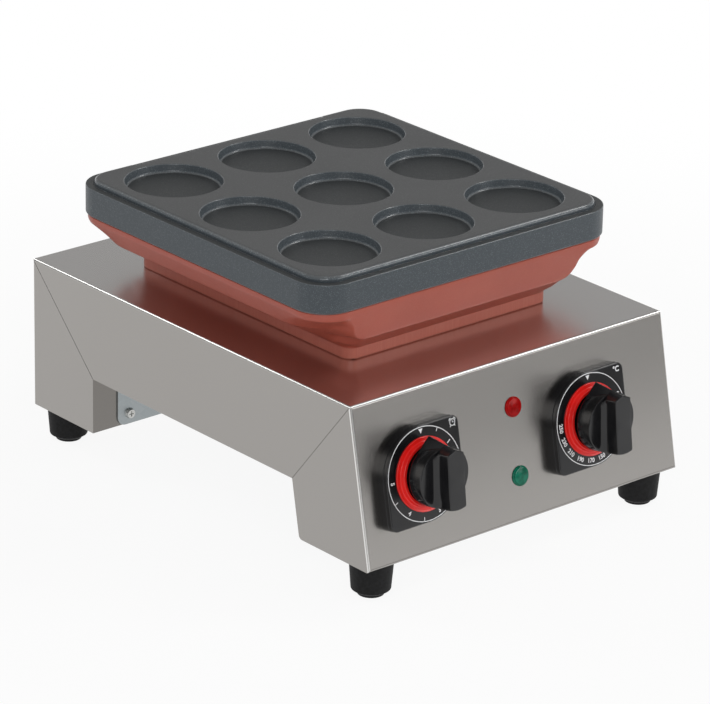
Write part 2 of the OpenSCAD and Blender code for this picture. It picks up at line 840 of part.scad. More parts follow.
module heating_element() {
    straight = loop_half - loop_r;
    color(bolt_grey) on_plate(tube_z) {
        for (a = [0, 90, 180, 270])
            rotate(a) translate([straight, straight, 0]) tube_bend(loop_r);
        for (a = [90, 180, 270])
            rotate(a) translate([-straight, loop_half, 0])
                rotate([0, 90, 0]) cylinder(d = tube_d, h = 2 * straight);
        for (s = [-1, 1]) {
            start = tube_end_x + tube_end_r;
            translate([s > 0 ? start : -straight, loop_half, 0])
                rotate([0, 90, 0]) cylinder(d = tube_d, h = straight - start);
            translate([s * start, loop_half, -tube_end_r])
                rotate([90, 0, 0]) rotate(s > 0 ? 90 : 0) tube_bend(tube_end_r);
            translate([s * tube_end_x, loop_half, -tube_end_r - tube_drop])
                cylinder(d = tube_d, h = tube_drop);
        }
    }
}

module element_beads() {
    color(ceramic) on_plate(tube_end_z - bead_len) for (s = [-1, 1])
        translate([s * tube_end_x, loop_half, 0]) difference() {
            cylinder(d = tube_d, h = bead_len);
            hole(pin_d, 4 * bead_len);
        }
}

module element_pins() {
    color(steel) on_plate(pin_end_z) for (s = [-1, 1])
        translate([s * tube_end_x, loop_half, 0]) cylinder(d = pin_d, h = pin_len + bead_len);
}

module element_clamp() {
    slot_x = tube_end_x + tube_end_r;
    slot_y = loop_half - tube_d;
    color(zinc) on_plate(clamp_z - clamp_t) difference() {
        linear_extrude(clamp_t) polygon(box(clamp_half, clamp_half));
        hole(passage_d, 4 * clamp_t);
        four(clamp_screw_at, clamp_screw_at) hole(clamp_screw_d, 4 * clamp_t);
        translate([-slot_x, slot_y, -clamp_t]) cube([2 * slot_x, clamp_half, 4 * clamp_t]);
    }
}

module clamp_screws() {
    length = core_z - clamp_z + clamp_t + clamp_screw_grip;
    color(bolt_grey) on_plate(clamp_z - clamp_t)
        four(clamp_screw_at, clamp_screw_at) rotate([180, 0, 0]) screw(clamp_screw_d, length);
}

module insulation_pad() {
    color(wool) on_plate(pad_z) difference() {
        linear_extrude(pad_t) polygon(box(pad_hx, pad_hy));
        hole(passage_d, 4 * pad_t);
    }
}

bulb_z = core_z - fit_gap - bulb_d / 2;

module thermostat_bulb() {
    color(copper) on_plate(bulb_z) translate([-bulb_len / 2, bulb_y, 0])
        rotate([0, 90, 0]) cylinder(d = bulb_d, h = bulb_len);
}

module bulb_clip() {
    clip = 2 * bulb_d;
    color(zinc) on_plate(clamp_z) translate([passage_d / 2 + bulb_d, bulb_y, 0]) difference() {
        translate([-clip / 2, -clip / 2, 0]) cube([clip, clip, bulb_z - clamp_z]);
        translate([-clip, 0, bulb_z - clamp_z]) rotate([0, 90, 0])
            cylinder(d = bulb_d + 2 * fit_gap, h = 2 * clip);
    }
}

// The leads and the capillary share the passage below the plate, each at its own place in it
passage_at = floor_hole_d / 3;
below_top = top_z - 3 * lead_d;

// The point at slope height v and depth w behind the panel, in the frame of the part
inwards = [0, cos(lean_a), -sin(lean_a)];
function behind(u, v, w) = [u, toe_y + v * sin(lean_a), leg_z + v * cos(lean_a)] + w * inwards;

module capillary_tube() {
    entry_v = control_v + diaphragm_d / 4;
    end = behind(thermostat_u, entry_v, sheet + thermostat_deep + diaphragm_t);
    hang = end + 4 * capillary_d * inwards;
    color(copper) run([
        [-bulb_len / 2, plate_y + bulb_y, bulb_z],
        [-bulb_len / 2 - 3 * capillary_d, plate_y + bulb_y, bulb_z],
        [-bulb_len / 2 - 3 * capillary_d, plate_y - passage_at, bulb_z],
        [0, plate_y - passage_at, bulb_z],
        [0, plate_y - passage_at, below_top],
        hang,
        end
    ], capillary_d);
}

// Distance of the thermostat's connections from its axis, both ways
tab_at = thermostat_w / 2 - lead_d;

module element_leads() {
    low = pin_end_z - fit_gap - ball_ratio * lead_d / 2;
    color(lead_sleeve) for (s = [-1, 1]) {
        end = s < 0
            ? behind(-timer_u, control_v + timer_w / 4, sheet + timer_deep)
            : behind(thermostat_u - tab_at, control_v + tab_at, sheet + thermostat_deep);
        hang = end + 4 * lead_d * inwards;
        run([
            [s * tube_end_x, plate_y + loop_half, pin_end_z],
            [s * tube_end_x, plate_y + loop_half, low],
            [s * passage_at, plate_y, low],
            [s * passage_at, plate_y, below_top - 2 * lead_d],
            [end[0], hang[1], below_top - 2 * lead_d],
            hang,
            end
        ], lead_d);
    }
}

module supply_leads() {
    start_z = leg_z + sheet + terminal_h / 2;
    level = bridge_z + 4 * lead_d;
    color(lead_sleeve) for (s = [-1, 1]) {
        start = [s * terminal_len / 4, rear_y - arch_t / 2 - terminal_deep / 2, start_z];
        bend_y = start[1] - 2 * lead_d;
        end = s < 0
            ? behind(-timer_u, control_v - timer_w / 4, sheet + timer_deep)
            : behind(thermostat_u + tab_at, control_v - tab_at, sheet + thermostat_deep);
        hang = end + 4 * lead_d * inwards;
        run([
            start,
            [start[0], bend_y, start_z],
            [start[0], bend_y, level],
            [end[0], hang[1], level],
            hang,
            end
        ], lead_d);
    }
}

module lamp_leads() {
    side = thermostat_u - thermostat_w / 2;
    deep = 2 * lead_d;
    reach_w = -lamp_len - deep;
    level = -sheet - thermostat_deep / 2;
    color(lead_sleeve) on_panel() for (v = [red_v, green_v]) {
        join = v > control_v ? control_v + thermostat_w / 4 : control_v - thermostat_w / 4;
        run([
            [-lamp_u, v, -lamp_len],
            [-lamp_u, v, reach_w],
            [side - 3 * lead_d, v, reach_w],
            [side - 3 * lead_d, join, level],
            [side, join, level]
        ], lead_d);
    }
}

// Bezel of a control: two corners swing round with the dial, two are square with a small radius
module bezel() {
    h = bezel_w / 2;
    swing_r = h - fit_gap;
    recess = bezel_t - control_screw_d * head_height_ratio - 3 * fit_gap;
    color(gloss_black) difference() {
        linear_extrude(bezel_t)
            polygon(rounded(box(h, h), [bezel_r, swing_r, bezel_r, swing_r], 24));
        hole(bush_d, 4 * bezel_t);
        control_pair() hole(control_screw_d, 4 * bezel_t);
        control_pair() translate([0, 0, recess])
            cylinder(d = control_screw_d * head_ratio + 4 * fit_gap, h = bezel_t);
    }
}

module dial_ring() {
    r = collar_d / 2;
    soft = 0.5;
    color(ring_red) translate([0, 0, bezel_t]) rotate_extrude()
        polygon(rounded(
            [[r - collar_wall, 0], [ring_d / 2, 0], [ring_d / 2, ring_edge_h], [r, ring_edge_h], [r, collar_h],
             [r - collar_wall, collar_h]],
            [0, 0, soft, 2 * soft, soft, 0]
        ));
}

// A round shaft with one flat, the outline grown by gap
module flat_shaft(gap) {
    intersection() {
        circle(d = shaft_d + 2 * gap);
        translate([-shaft_d, shaft_flat - shaft_d / 2 + gap - 2 * shaft_d]) square(2 * shaft_d);
    }
}

// Height on a knob at the distance v from its axis, on a plane that rises towards the pointer
function knob_level(v, middle, rise) = middle + rise * v / knob_d;

// One layer of the pointer nose on such a plane: its two roots, its ridge and a point inside the knob
function nose_layer(x, y, ridge, middle, rise) =
    [for (p = [[-x, y], [0, ridge], [x, y], [0, 0]]) [p[0], p[1], knob_level(p[1], middle, rise)]];

// The part of a knob below such a plane, as far as the distance end towards the pointer
module knob_below(wide, end, middle, rise) {
    intersection() {
        cylinder(d = knob_d, h = knob_h);
        along_x(wide)
            polygon([[-knob_d, 0], [end, 0], [end, knob_level(end, middle, rise)],
                     [-knob_d, knob_level(-knob_d, middle, rise)]]);
    }
}

module knob() {
    r = knob_d / 2;
    half = grip_w / 2;
    swing = acos(r / nose_reach);
    grip_h = knob_h - grip_fall / 2;
    ridge = nose_reach - (nose_reach - nose_top) * knob_level(nose_top, skirt_h, skirt_rise) / knob_h;
    foot = nose_layer(r * sin(swing), r * cos(swing), nose_reach, 0, 0);
    waist = nose_layer(half, nose_root, ridge, skirt_h, skirt_rise);
    crown = nose_layer(half, nose_root, nose_top, grip_h, grip_fall);
    color(gloss_black) translate([0, 0, knob_base_w]) difference() {
        union() {
            knob_below(2 * knob_d, knob_d, skirt_h, skirt_rise);
            knob_below(grip_w, nose_root, grip_h, grip_fall);
            hull() stack([foot, waist]);
            hull() stack([waist, crown]);
        }
        translate([0, 0, -knob_hollow]) difference() {
            cylinder(d = knob_d - 2 * knob_wall, h = 2 * knob_hollow);
            cylinder(d = hub_d, h = 3 * knob_hollow);
        }
        translate([0, 0, -1]) linear_extrude(shaft_grip + 1) flat_shaft(run_gap);
    }
}

module shaft() {
    color(bolt_grey) {
        translate([0, 0, -sheet - shaft_seat]) cylinder(d = shaft_d, h = shaft_seat + sheet + bezel_t);
        translate([0, 0, bezel_t]) linear_extrude(knob_base_w - bezel_t + shaft_grip - fit_gap) flat_shaft(0);
    }
}

// What every mechanism has in front: the collar for its shaft and the holes of its two screws
module mechanism_front() {
    difference() {
        union() {
            children();
            translate([0, 0, -sheet - 1]) cylinder(d = bush_d, h = sheet + 1 + bezel_t - fit_gap);
        }
        translate([0, 0, -sheet - shaft_seat - 1])
            cylinder(d = shaft_d + 2 * run_gap, h = shaft_seat + sheet + bezel_t + 2);
        control_pair() translate([0, 0, -sheet]) hole(control_screw_d, 2 * control_screw_grip + 1);
    }
}

module control_screws() {
    seat = bezel_t - control_screw_d * head_height_ratio - 3 * fit_gap;
    length = seat + sheet + control_screw_grip;
    color(bolt_grey) control_pair() translate([0, 0, seat]) screw(control_screw_d, length);
}

module timer_bezel() { on_panel(-timer_u, control_v) bezel(); }
module timer_ring() { on_panel(-timer_u, control_v) dial_ring(); }
module timer_knob() { on_panel(-timer_u, control_v) knob(); }
module timer_shaft() { on_panel(-timer_u, control_v) shaft(); }
module timer_screws() { on_panel(-timer_u, control_v) control_screws(); }
module timer_body() {
    color(zinc) on_panel(-timer_u, control_v) mechanism_front()
        translate([0, 0, -sheet - timer_deep])
            linear_extrude(timer_deep) polygon(box(timer_w / 2, timer_w / 2));
}

module thermostat_bezel() { on_panel(thermostat_u, control_v) bezel(); }
module thermostat_ring() { on_panel(thermostat_u, control_v) dial_ring(); }
module thermostat_knob() { on_panel(thermostat_u, control_v) knob(); }
module thermostat_shaft() { on_panel(thermostat_u, control_v) shaft(); }
module thermostat_screws() { on_panel(thermostat_u, control_v) control_screws(); }
module thermostat_body() {
    color(ceramic) on_panel(thermostat_u, control_v) mechanism_front() {
        translate([0, 0, -sheet - thermostat_deep])
            linear_extrude(thermostat_deep) polygon(box(thermostat_w / 2, thermostat_w / 2));
        translate([0, 0, -sheet - thermostat_deep - diaphragm_t])
            cylinder(d = diaphragm_d, h = diaphragm_t + 1);
    }
}

module lens() {
    r = lens_d / 2;
    shoulder_r = r - lens_flange / 2;
    dome_r = lens_h - lens_flange - fit_gap;
    rotate_extrude()
        polygon(rounded(
            [
                [0, 0], [r, 0], [r, lens_flange], [shoulder_r, lens_flange],
                [shoulder_r, lens_h], [0, lens_h]
            ],
            [0, 0, lens_flange / 3, 0, dome_r, 0]
        ));
}

module lamp_body() {
    color(ceramic) translate([0, 0, -lamp_len]) cylinder(d = lamp_d, h = lamp_len);
}

module red_lamp_lens() { color(red_glass) on_panel(-lamp_u, red_v) lens(); }
module green_lamp_lens() { color(green_glass) on_panel(-lamp_u, green_v) lens(); }
module red_lamp_body() { on_panel(-lamp_u, red_v) lamp_body(); }
module green_lamp_body() { on_panel(-lamp_u, green_v) lamp_body(); }

module lamp_nuts() {
    color(steel) at_lamps() translate([0, 0, -sheet - lamp_nut_t]) difference() {
        cylinder(d = lamp_nut_d, h = lamp_nut_t);
        hole(lamp_d, 4 * lamp_nut_t);
    }
}

module terminal_block() {
    color(ceramic) at_terminal() difference() {
        linear_extrude(terminal_h) polygon(box(terminal_len / 2, terminal_deep / 2));
        terminal_pair() hole(terminal_screw_d, 4 * terminal_h);
    }
}

module terminal_screws() {
    color(bolt_grey) at_terminal() terminal_pair()
        translate([0, 0, terminal_h]) screw(terminal_screw_d, terminal_h + sheet);
}

module at_earth() {
    translate([-earth_x, rear_y - arch_t / 2, leg_z + sheet]) children();
}

module earth_stud() {
    color(bolt_grey) at_earth() cylinder(d = earth_d, h = earth_len);
}

module earth_nuts() {
    step = earth_d * nut_height_ratio + fit_gap;
    color(bolt_grey) at_earth() for (k = [0, 1]) translate([0, 0, k * step]) nut(earth_d);
}

module cable_gland() {
    color(gloss_black) at_gland() difference() {
        union() {
            translate([0, 0, -gland_thread]) cylinder(d = gland_d, h = gland_thread + 1);
            cylinder(d = gland_flats / cos(30), h = gland_flange, $fn = 6);
            cylinder(d1 = gland_flats, d2 = gland_d, h = gland_out);
        }
        hole(gland_bore, 4 * (gland_out + gland_thread));
    }
}

module gland_nut() {
    color(gloss_black) at_gland() translate([0, 0, -sheet - gland_nut_t]) difference() {
        cylinder(d = gland_flats / cos(30), h = gland_nut_t, $fn = 6);
        hole(gland_d, 4 * gland_nut_t);
    }
}

body_shell();
bottom_cover();
cover_screws();
foot_front_left();
foot_front_right();
foot_rear_left();
foot_rear_right();
foot_screws();
foot_nuts();
plate_housing();
cooking_plate();
tie_bolts();
tie_washers();
heating_element();
element_beads();
element_pins();
element_clamp();
clamp_screws();
insulation_pad();
thermostat_bulb();
bulb_clip();
capillary_tube();
timer_bezel();
timer_ring();
timer_knob();
timer_shaft();
timer_body();
timer_screws();
thermostat_bezel();
thermostat_ring();
thermostat_knob();
thermostat_shaft();
thermostat_body();
thermostat_screws();
red_lamp_lens();
green_lamp_lens();
red_lamp_body();
green_lamp_body();
lamp_nuts();
terminal_block();
terminal_screws();
earth_stud();
earth_nuts();
cable_gland();
gland_nut();
element_leads();
supply_leads();
lamp_leads();
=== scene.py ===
import json
import math
import bmesh
import bpy
from mathutils import Matrix, Vector
from mathutils.geometry import delaunay_2d_cdt


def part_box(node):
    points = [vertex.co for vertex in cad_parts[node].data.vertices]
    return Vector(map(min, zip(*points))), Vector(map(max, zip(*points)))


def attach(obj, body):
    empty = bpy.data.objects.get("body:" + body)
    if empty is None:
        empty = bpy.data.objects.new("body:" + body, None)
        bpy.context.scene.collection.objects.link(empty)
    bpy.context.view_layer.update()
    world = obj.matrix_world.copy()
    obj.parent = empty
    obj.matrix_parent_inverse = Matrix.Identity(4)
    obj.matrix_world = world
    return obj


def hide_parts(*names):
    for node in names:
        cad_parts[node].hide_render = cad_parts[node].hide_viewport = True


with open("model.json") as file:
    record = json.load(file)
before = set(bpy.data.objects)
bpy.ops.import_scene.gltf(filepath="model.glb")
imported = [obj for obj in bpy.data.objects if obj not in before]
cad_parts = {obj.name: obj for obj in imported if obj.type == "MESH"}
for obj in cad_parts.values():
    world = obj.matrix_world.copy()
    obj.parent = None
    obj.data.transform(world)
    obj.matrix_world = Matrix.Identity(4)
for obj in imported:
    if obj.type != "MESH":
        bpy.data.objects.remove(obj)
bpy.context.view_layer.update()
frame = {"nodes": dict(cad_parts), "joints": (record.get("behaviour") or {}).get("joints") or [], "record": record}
scene = bpy.context.scene
scene.view_settings.view_transform = "Standard"
mm = 0.001
print("frame loaded:", len(frame["nodes"]), "nodes")


class Wire:  # one socket of a node tree, with operators that add Math nodes
    def __init__(self, tree, socket=None):
        self.tree, self.socket = tree, socket

    def add(self, kind, settings=None, values=None, out=0):
        node = self.tree.nodes.new(kind)
        for key, value in (settings or {}).items():
            setattr(node, key, value)
        for key, value in (values or {}).items():
            if isinstance(value, Wire):
                self.tree.links.new(value.socket, node.inputs[key])
            else:
                node.inputs[key].default_value = value
        return Wire(self.tree, node.outputs[out] if len(node.outputs) else None)

    def maths(self, operation, first, second=0.0):
        return self.add("ShaderNodeMath", {"operation": operation}, {0: first, 1: second})

    def __add__(self, other):
        return self.maths("ADD", self, other)

    def __sub__(self, other):
        return self.maths("SUBTRACT", self, other)

    def __rsub__(self, other):
        return self.maths("SUBTRACT", other, self)

    def __mul__(self, other):
        return self.maths("MULTIPLY", self, other)

    __radd__, __rmul__ = __add__, __mul__

    def most(self, other):
        return self.maths("MAXIMUM", self, other)

    def size(self):
        return self.maths("ABSOLUTE", self)

    def step(self, low, high):  # smooth rise from 0 at low to 1 at high
        return self.add(
            "ShaderNodeMapRange", {"interpolation_type": "SMOOTHSTEP"},
            {"Value": self, "From Min": low, "From Max": high, "To Min": 0.0, "To Max": 1.0},
        )

    def tint(self, dark, light):  # this value mixes two colours
        return self.add("ShaderNodeMix", {"data_type": "RGBA"}, {0: self, 6: dark, 7: light}, 2)

    def stretch(self, x, y, z):
        return self.add("ShaderNodeVectorMath", {"operation": "MULTIPLY"}, {0: self, 1: (x, y, z)})

    def noise(self, scale, detail=2.0, roughness=0.5):
        return self.add(
            "ShaderNodeTexNoise", {}, {"Vector": self, "Scale": scale, "Detail": detail, "Roughness": roughness}
        )

    def parts(self):  # the three numbers of a vector
        return [self.add("ShaderNodeSeparateXYZ", {}, {0: self}, i) for i in range(3)]

    def bump(self, strength, depth):
        return self.add("ShaderNodeBump", {}, {"Strength": strength, "Distance": depth, "Height": self})


def makeFinish(name, recipe, **look):
    material = bpy.data.materials.new(name)
    material.use_nodes = True
    tree = material.node_tree
    tree.nodes.clear()
    start = Wire(tree)
    place = start.add("ShaderNodeTexCoord", out="Object")
    shader = start.add("ShaderNodeBsdfPrincipled", {}, recipe(start, place, **look))
    start.add("ShaderNodeOutputMaterial", {}, {"Surface": shader})
    return material


# Finishes
sheetLook = {
    # the top face's colour here is painted sheen, brighter than the sides, standing in for reflection
    "grey": (0.345, 0.33, 0.313, 1), "pale": (0.367, 0.353, 0.337, 1), "level": (0.76, 0.74, 0.72, 1),
    # the fold and corner colours are painted highlights on the bends
    "foldHighlight": (0.45, 0.445, 0.435, 1), "corner": (0.85, 0.845, 0.83, 1), "slope": (0, -0.98, 0.199), "rough": 0.25,
    "long": 14, "fine": 2600,  # scale along and across the brush lines
}


def brushedSheet(start, place, grey, pale, level, foldHighlight, corner, slope, rough, long, fine):
    face = start.add("ShaderNodeTexCoord", out="Normal")
    across, deep, high = face.parts()
    front = start.add("ShaderNodeVectorMath", {"operation": "DOT_PRODUCT"}, {0: face, 1: slope}, 1)
    flat = across.size().most(deep.size()).most(high.size()).most(front.size())
    upright = 1 - high.size().step(0.25, 0.5)
    bend = 1 - flat.step(0.78 + upright * 0.12, 0.95 + upright * 0.04)  # 1 on the folds, 0 on the flat faces
    heart = (1 - flat.step(0.74, 0.9)) * upright  # the darker middle of the painted highlight on an upright fold
    lit = (high - across * 0.8).step(0.1, 0.4)  # folds that face up or to the left get a painted highlight
    side = across.size().step(0.6, 0.8)
    longLines = place.stretch(long, fine, fine).noise(1.0, 2.0, 0.55)
    sideLines = place.stretch(fine, long, fine).noise(1.0, 2.0, 0.55)
    lines = sideLines * side + longLines * (1 - side)
    cloud = place.noise(7.0, 2.0)
    base = (lines * 0.5 + cloud * 0.5).tint(grey, pale)
    inner = (0 - deep).step(0.985, 0.998)  # the shaded face in the arch
    upper = inner.tint(base, base.stretch(0.62, 0.61, 0.6))
    lying = high.step(0.8, 0.98).tint(upper, level)  # painted sheen: the top face is coloured brighter than the sides, standing in for brighter reflection
    # painted highlight: lit folds take the fold colour, upright ones the corner colour, darker in their middle
    colour = ((bend - heart * 0.7) * lit).tint(lying, upright.tint(foldHighlight, corner))
    return {
        "Base Color": colour, "Metallic": 1.0, "Roughness": lines * 0.02 + cloud * 0.02 + (rough - 0.02),
        "Normal": lines.bump(0.015, 0.00001),
    }


def spangled(start, place, dark, light, scale, rough):  # zinc crystals
    cells = start.add("ShaderNodeTexVoronoi", {"feature": "F1"}, {"Vector": place, "Scale": scale}, 1)
    shade = start.add("ShaderNodeSeparateColor", {}, {0: cells}, 0)
    fine = place.noise(900.0, 3.0)
    return {
        "Base Color": (shade * 0.6 + fine * 0.4).tint(dark, light), "Metallic": 1.0,
        "Roughness": shade * 0.12 + fine * 0.08 + (rough - 0.1), "Normal": fine.bump(0.1, 0.00002),
    }


def grained(start, place, dark, light, scale, rough, metal=0.0, depth=0.00003, shine=0.5):
    coarse = place.noise(scale, 4.0, 0.6)
    fine = place.noise(scale * 6, 2.0)
    return {
        "Base Color": coarse.step(0.25, 0.75).tint(dark, light), "Metallic": metal,
        "Roughness": fine * 0.12 + (rough - 0.06), "Specular IOR Level": shine,
        "Normal": (coarse * 0.6 + fine * 0.4).bump(0.25, depth),
    }


def enamel(start, place, dark, light, dust, rough, foot):  # paint over a sand casting
    cloud = place.noise(22.0, 3.0)
    peel = place.noise(480.0, 3.0, 0.55)
    grain = place.noise(1700.0, 2.0)
    edge = start.add("ShaderNodeNewGeometry", out="Pointiness").step(0.53, 0.6)
    band = 1 - place.parts()[2].step(foot - 0.0005, foot)  # the machined foot band, also painted paler as painted light
    cuts = place.stretch(1100, 1100, 10).noise(1.0, 2.0).step(0.4, 0.75) * band
    paint = (cloud * 0.6 + grain * 0.4).step(0.3, 0.7).tint(dark, light)
    return {
        # paler on convex edges and along the foot's machining streaks; the whole foot band is painted paler as painted
        # light under the overhang
        "Base Color": (edge * 0.25 + cuts * 0.12 + band * 0.24).tint(paint, dust),
        "Roughness": peel * 0.14 + (rough - 0.07), "Normal": (peel * 0.7 + grain * 0.3).bump(0.25, 0.00005),
    }


def nonStick(start, place, dark, light, sunk, steep, fleck, flake, rough, shine, top, lowest, highest):
    cells = start.add("ShaderNodeTexVoronoi", {"feature": "F1"}, {"Vector": place, "Scale": flake}, 1)
    facet = start.add("ShaderNodeSeparateColor", {}, {0: cells}, 0)
    spark = facet.step(0.8, 0.99)
    grain = place.noise(1500.0, 2.0, 0.55)
    cloud = place.noise(16.0, 2.0)
    across, ahead, up = start.add("ShaderNodeTexCoord", out="Normal").parts()
    tilt = up.size()
    low = (1 - place.parts()[2].step(top - lowest, top - highest)) * up.step(0.75, 0.95)  # painted shade: cup floors and the shoulder, below the top, turn toward the sunk colour
    # painted shade: steep walls are tinted toward a darker, bluer wall colour
    wall = 1 - tilt.step(0.35, 0.85)
    edge = tilt.step(0.12, 0.3) * (1 - tilt.step(0.92, 0.99))  # roundings, painted lighter as a painted highlight
    dull = (0 - across).step(0.2, 0.5) * (1 - ahead.size().step(0.1, 0.35))  # the left edges keep no shine
    field = (grain * 0.5 + cloud * 0.5).step(0.25, 0.75).tint(dark, light)
    toned = (wall * 0.8).tint((low * 0.7).tint(field, sunk), steep)
    return {
        # the coating's own flecks, made brighter on walls as painted glints; the roundings are painted lighter as a
        # painted highlight
        "Base Color": (spark * (wall * 0.16 + 0.05) + edge * (spark * 0.3 + 0.1)).tint(toned, fleck),
        "Roughness": rough + 0.04 - spark * 0.1, "Specular IOR Level": shine,
        "Coat Weight": edge * (1 - dull) * (spark * 0.4 + 0.6), "Coat Roughness": 0.13,
        "Normal": (grain * 0.7 + facet * 0.3).bump(0.2, 0.00004),
    }


def gloss(start, place, dark, light, rough, shine):  # moulded plastic
    cloud = place.noise(60.0, 2.0)
    fine = place.noise(1500.0, 2.0)
    return {
        "Base Color": cloud.step(0.3, 0.7).tint(dark, light), "Specular IOR Level": shine,
        "Roughness": fine * 0.05 + cloud * 0.05 + (rough - 0.05), "Normal": fine.bump(0.03, 0.00001),
    }


def tintedLens(start, place, deep, glow, rough, shine):
    prism = start.add("ShaderNodeTexVoronoi", {"feature": "F1"}, {"Vector": place, "Scale": 420.0})
    ribs = place.noise(160.0, 1.0)
    return {
        "Base Color": (prism * 0.3 + ribs * 0.6).step(0.2, 0.7).tint(deep, glow), "Roughness": ribs * 0.05 + rough,
        "Specular IOR Level": shine, "Normal": prism.bump(0.04, 0.0001),
    }


finishes = {
    "stainless": makeFinish("brushedStainless", brushedSheet, **sheetLook),
    "galvanised": makeFinish("galvanisedSheet", spangled, dark=(0.32, 0.35, 0.36, 1), light=(0.43, 0.46, 0.47, 1),
                             scale=170.0, rough=0.38),
    "fastener": makeFinish("zincPlating", spangled, dark=(0.5, 0.5, 0.49, 1), light=(0.68, 0.68, 0.66, 1),
                           scale=700.0, rough=0.3),
    "foot_rubber": makeFinish("blackRubber", grained, dark=(0.009, 0.009, 0.009, 1), light=(0.017, 0.017, 0.018, 1),
                              scale=500.0, rough=0.62, depth=0.00005, shine=0.15),
    # its pale colour serves the edges, the machining streaks and painted light on the foot band
    "cast_paint": makeFinish("terracottaEnamel", enamel, dark=(0.355, 0.067, 0.04, 1), light=(0.41, 0.086, 0.055, 1),
                             dust=(0.6, 0.24, 0.18, 1), rough=0.42, foot=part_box("body_shell")[1].z + 0.0075),
    # in the non-stick finish the sunk colour is painted shade for the cup floors and the shoulder
    "non_stick": makeFinish("nonStickCoating", nonStick, dark=(0.075, 0.077, 0.078, 1), light=(0.093, 0.095, 0.096, 1),
                            sunk=(0.023, 0.027, 0.028, 1), steep=(0.049, 0.063, 0.075, 1), fleck=(0.3, 0.35, 0.38, 1),
                            flake=2600.0, rough=0.4, shine=0.4, top=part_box("cooking_plate")[1].z,
                            lowest=0.0024, highest=0.0008),
    "heater_steel": makeFinish("heaterTube", grained, dark=(0.16, 0.14, 0.12, 1), light=(0.34, 0.31, 0.28, 1),
                               scale=120.0, rough=0.45, metal=1.0),
    "ceramic": makeFinish("paleCeramic", grained, dark=(0.66, 0.62, 0.54, 1), light=(0.78, 0.75, 0.68, 1),
                          scale=300.0, rough=0.5),
    "insulation": makeFinish("mineralWool", grained, dark=(0.45, 0.38, 0.24, 1), light=(0.7, 0.62, 0.44, 1),
                             scale=420.0, rough=0.95, depth=0.0006),
    "copper": makeFinish("bareCopper", grained, dark=(0.42, 0.17, 0.09, 1), light=(0.62, 0.29, 0.16, 1),
                         scale=150.0, rough=0.35, metal=1.0),
    "control_black": makeFinish("blackMoulding", gloss, dark=(0.005, 0.005, 0.006, 1), light=(0.009, 0.009, 0.01, 1),
                                rough=0.16, shine=0.5),
    "dial_red": makeFinish("redMoulding", gloss, dark=(0.7, 0.009, 0.007, 1), light=(0.85, 0.016, 0.012, 1),
                           rough=0.24, shine=0.55),
    "lens_red": makeFinish("redLens", tintedLens, deep=(0.22, 0.001, 0.001, 1), glow=(0.4, 0.006, 0.006, 1),
                           rough=0.1, shine=0.1),
    "lens_green": makeFinish("greenLens", tintedLens, deep=(0.0, 0.075, 0.042, 1), glow=(0.003, 0.17, 0.1, 1),
                             rough=0.1, shine=0.25),
    "mechanism": makeFinish("mechanismCase", grained, dark=(0.36, 0.37, 0.38, 1), light=(0.5, 0.51, 0.52, 1),
                            scale=200.0, rough=0.5),
    "lead": makeFinish("sleevedWire", grained, dark=(0.46, 0.42, 0.34, 1), light=(0.64, 0.6, 0.52, 1),
                       scale=700.0, rough=0.75, depth=0.0001),
}
ink = makeFinish("dialInk", grained, dark=(0.72, 0.73, 0.74, 1), light=(0.86, 0.87, 0.88, 1), scale=900.0, rough=0.5)
print("finishes made:", len(finishes) + 1)


# Mesh tools, all in millimetres
def softPath(corners, steps=5):  # (across, up, radius) corners to a path with rounded corners
    path = []
    for i, (x, y, radius) in enumerate(corners):
        p = Vector((x, y))
        if radius <= 0 or i in (0, len(corners) - 1):
            path.append(p)
            continue
        u = (Vector(corners[i - 1][:2]) - p).normalized()
        v = (Vector(corners[i + 1][:2]) - p).normalized()
        half = u.angle(v) / 2
        middle = p + (u + v).normalized() * radius / math.sin(half)
        reach = radius / math.tan(half)
        first, last = p + u * reach - middle, p + v * reach - middle
        sweep = math.pi - 2 * half
        for k in range(steps + 1):
            a, b = math.sin(sweep * (1 - k / steps)), math.sin(sweep * k / steps)
            path.append(middle + (first * a + last * b) / math.sin(sweep))
    return path


def heightOf(path, at):  # across value of a path at a height, for paths that only rise
    for p, q in zip(path, path[1:]):
        if p.y <= at <= q.y and q.y > p.y:
            return p.x + (q.x - p.x) * (at - p.y) / (q.y - p.y)
    return path[0].x if at < path[0].y else path[-1].x


def ease(value):
    value = min(max(value, 0.0), 1.0)
    return value * value * (3 - 2 * value)


class Shape:  # points and faces of one piece
    def __init__(self):
        self.points, self.faces = [], []

    def ring(self, points):
        first = len(self.points)
        self.points += [Vector(p) for p in points]
        return list(range(first, len(self.points)))

    def bridge(self, low, high):
        n = len(low)
        self.faces += [(low[i], low[(i + 1) % n], high[(i + 1) % n], high[i]) for i in range(n)]

    def fan(self, loop, tip):
        n = len(loop)
        self.faces += [(loop[i], loop[(i + 1) % n], tip) for i in range(n)]

    def skin(self, rings):
        rows = [self.ring(r) for r in rings]
        for low, high in zip(rows, rows[1:]):
            self.bridge(low, high)
        return rows

    def turn(self, profile, steps, place, closed=False):
        rows = []
        for r, z in profile:
            spokes = [2 * math.pi * k / steps for k in range(steps)] if r > 1e-6 else [0.0]
            rows.append(self.ring([place @ Vector((r * math.cos(a), r * math.sin(a), z)) for a in spokes]))
        for low, high in zip(rows, rows[1:] + (rows[:1] if closed else [])):
            if len(low) == 1 or len(high) == 1:
                self.fan(high if len(low) == 1 else low, (low if len(low) == 1 else high)[0])
            else:
                self.bridge(low, high)
        return rows


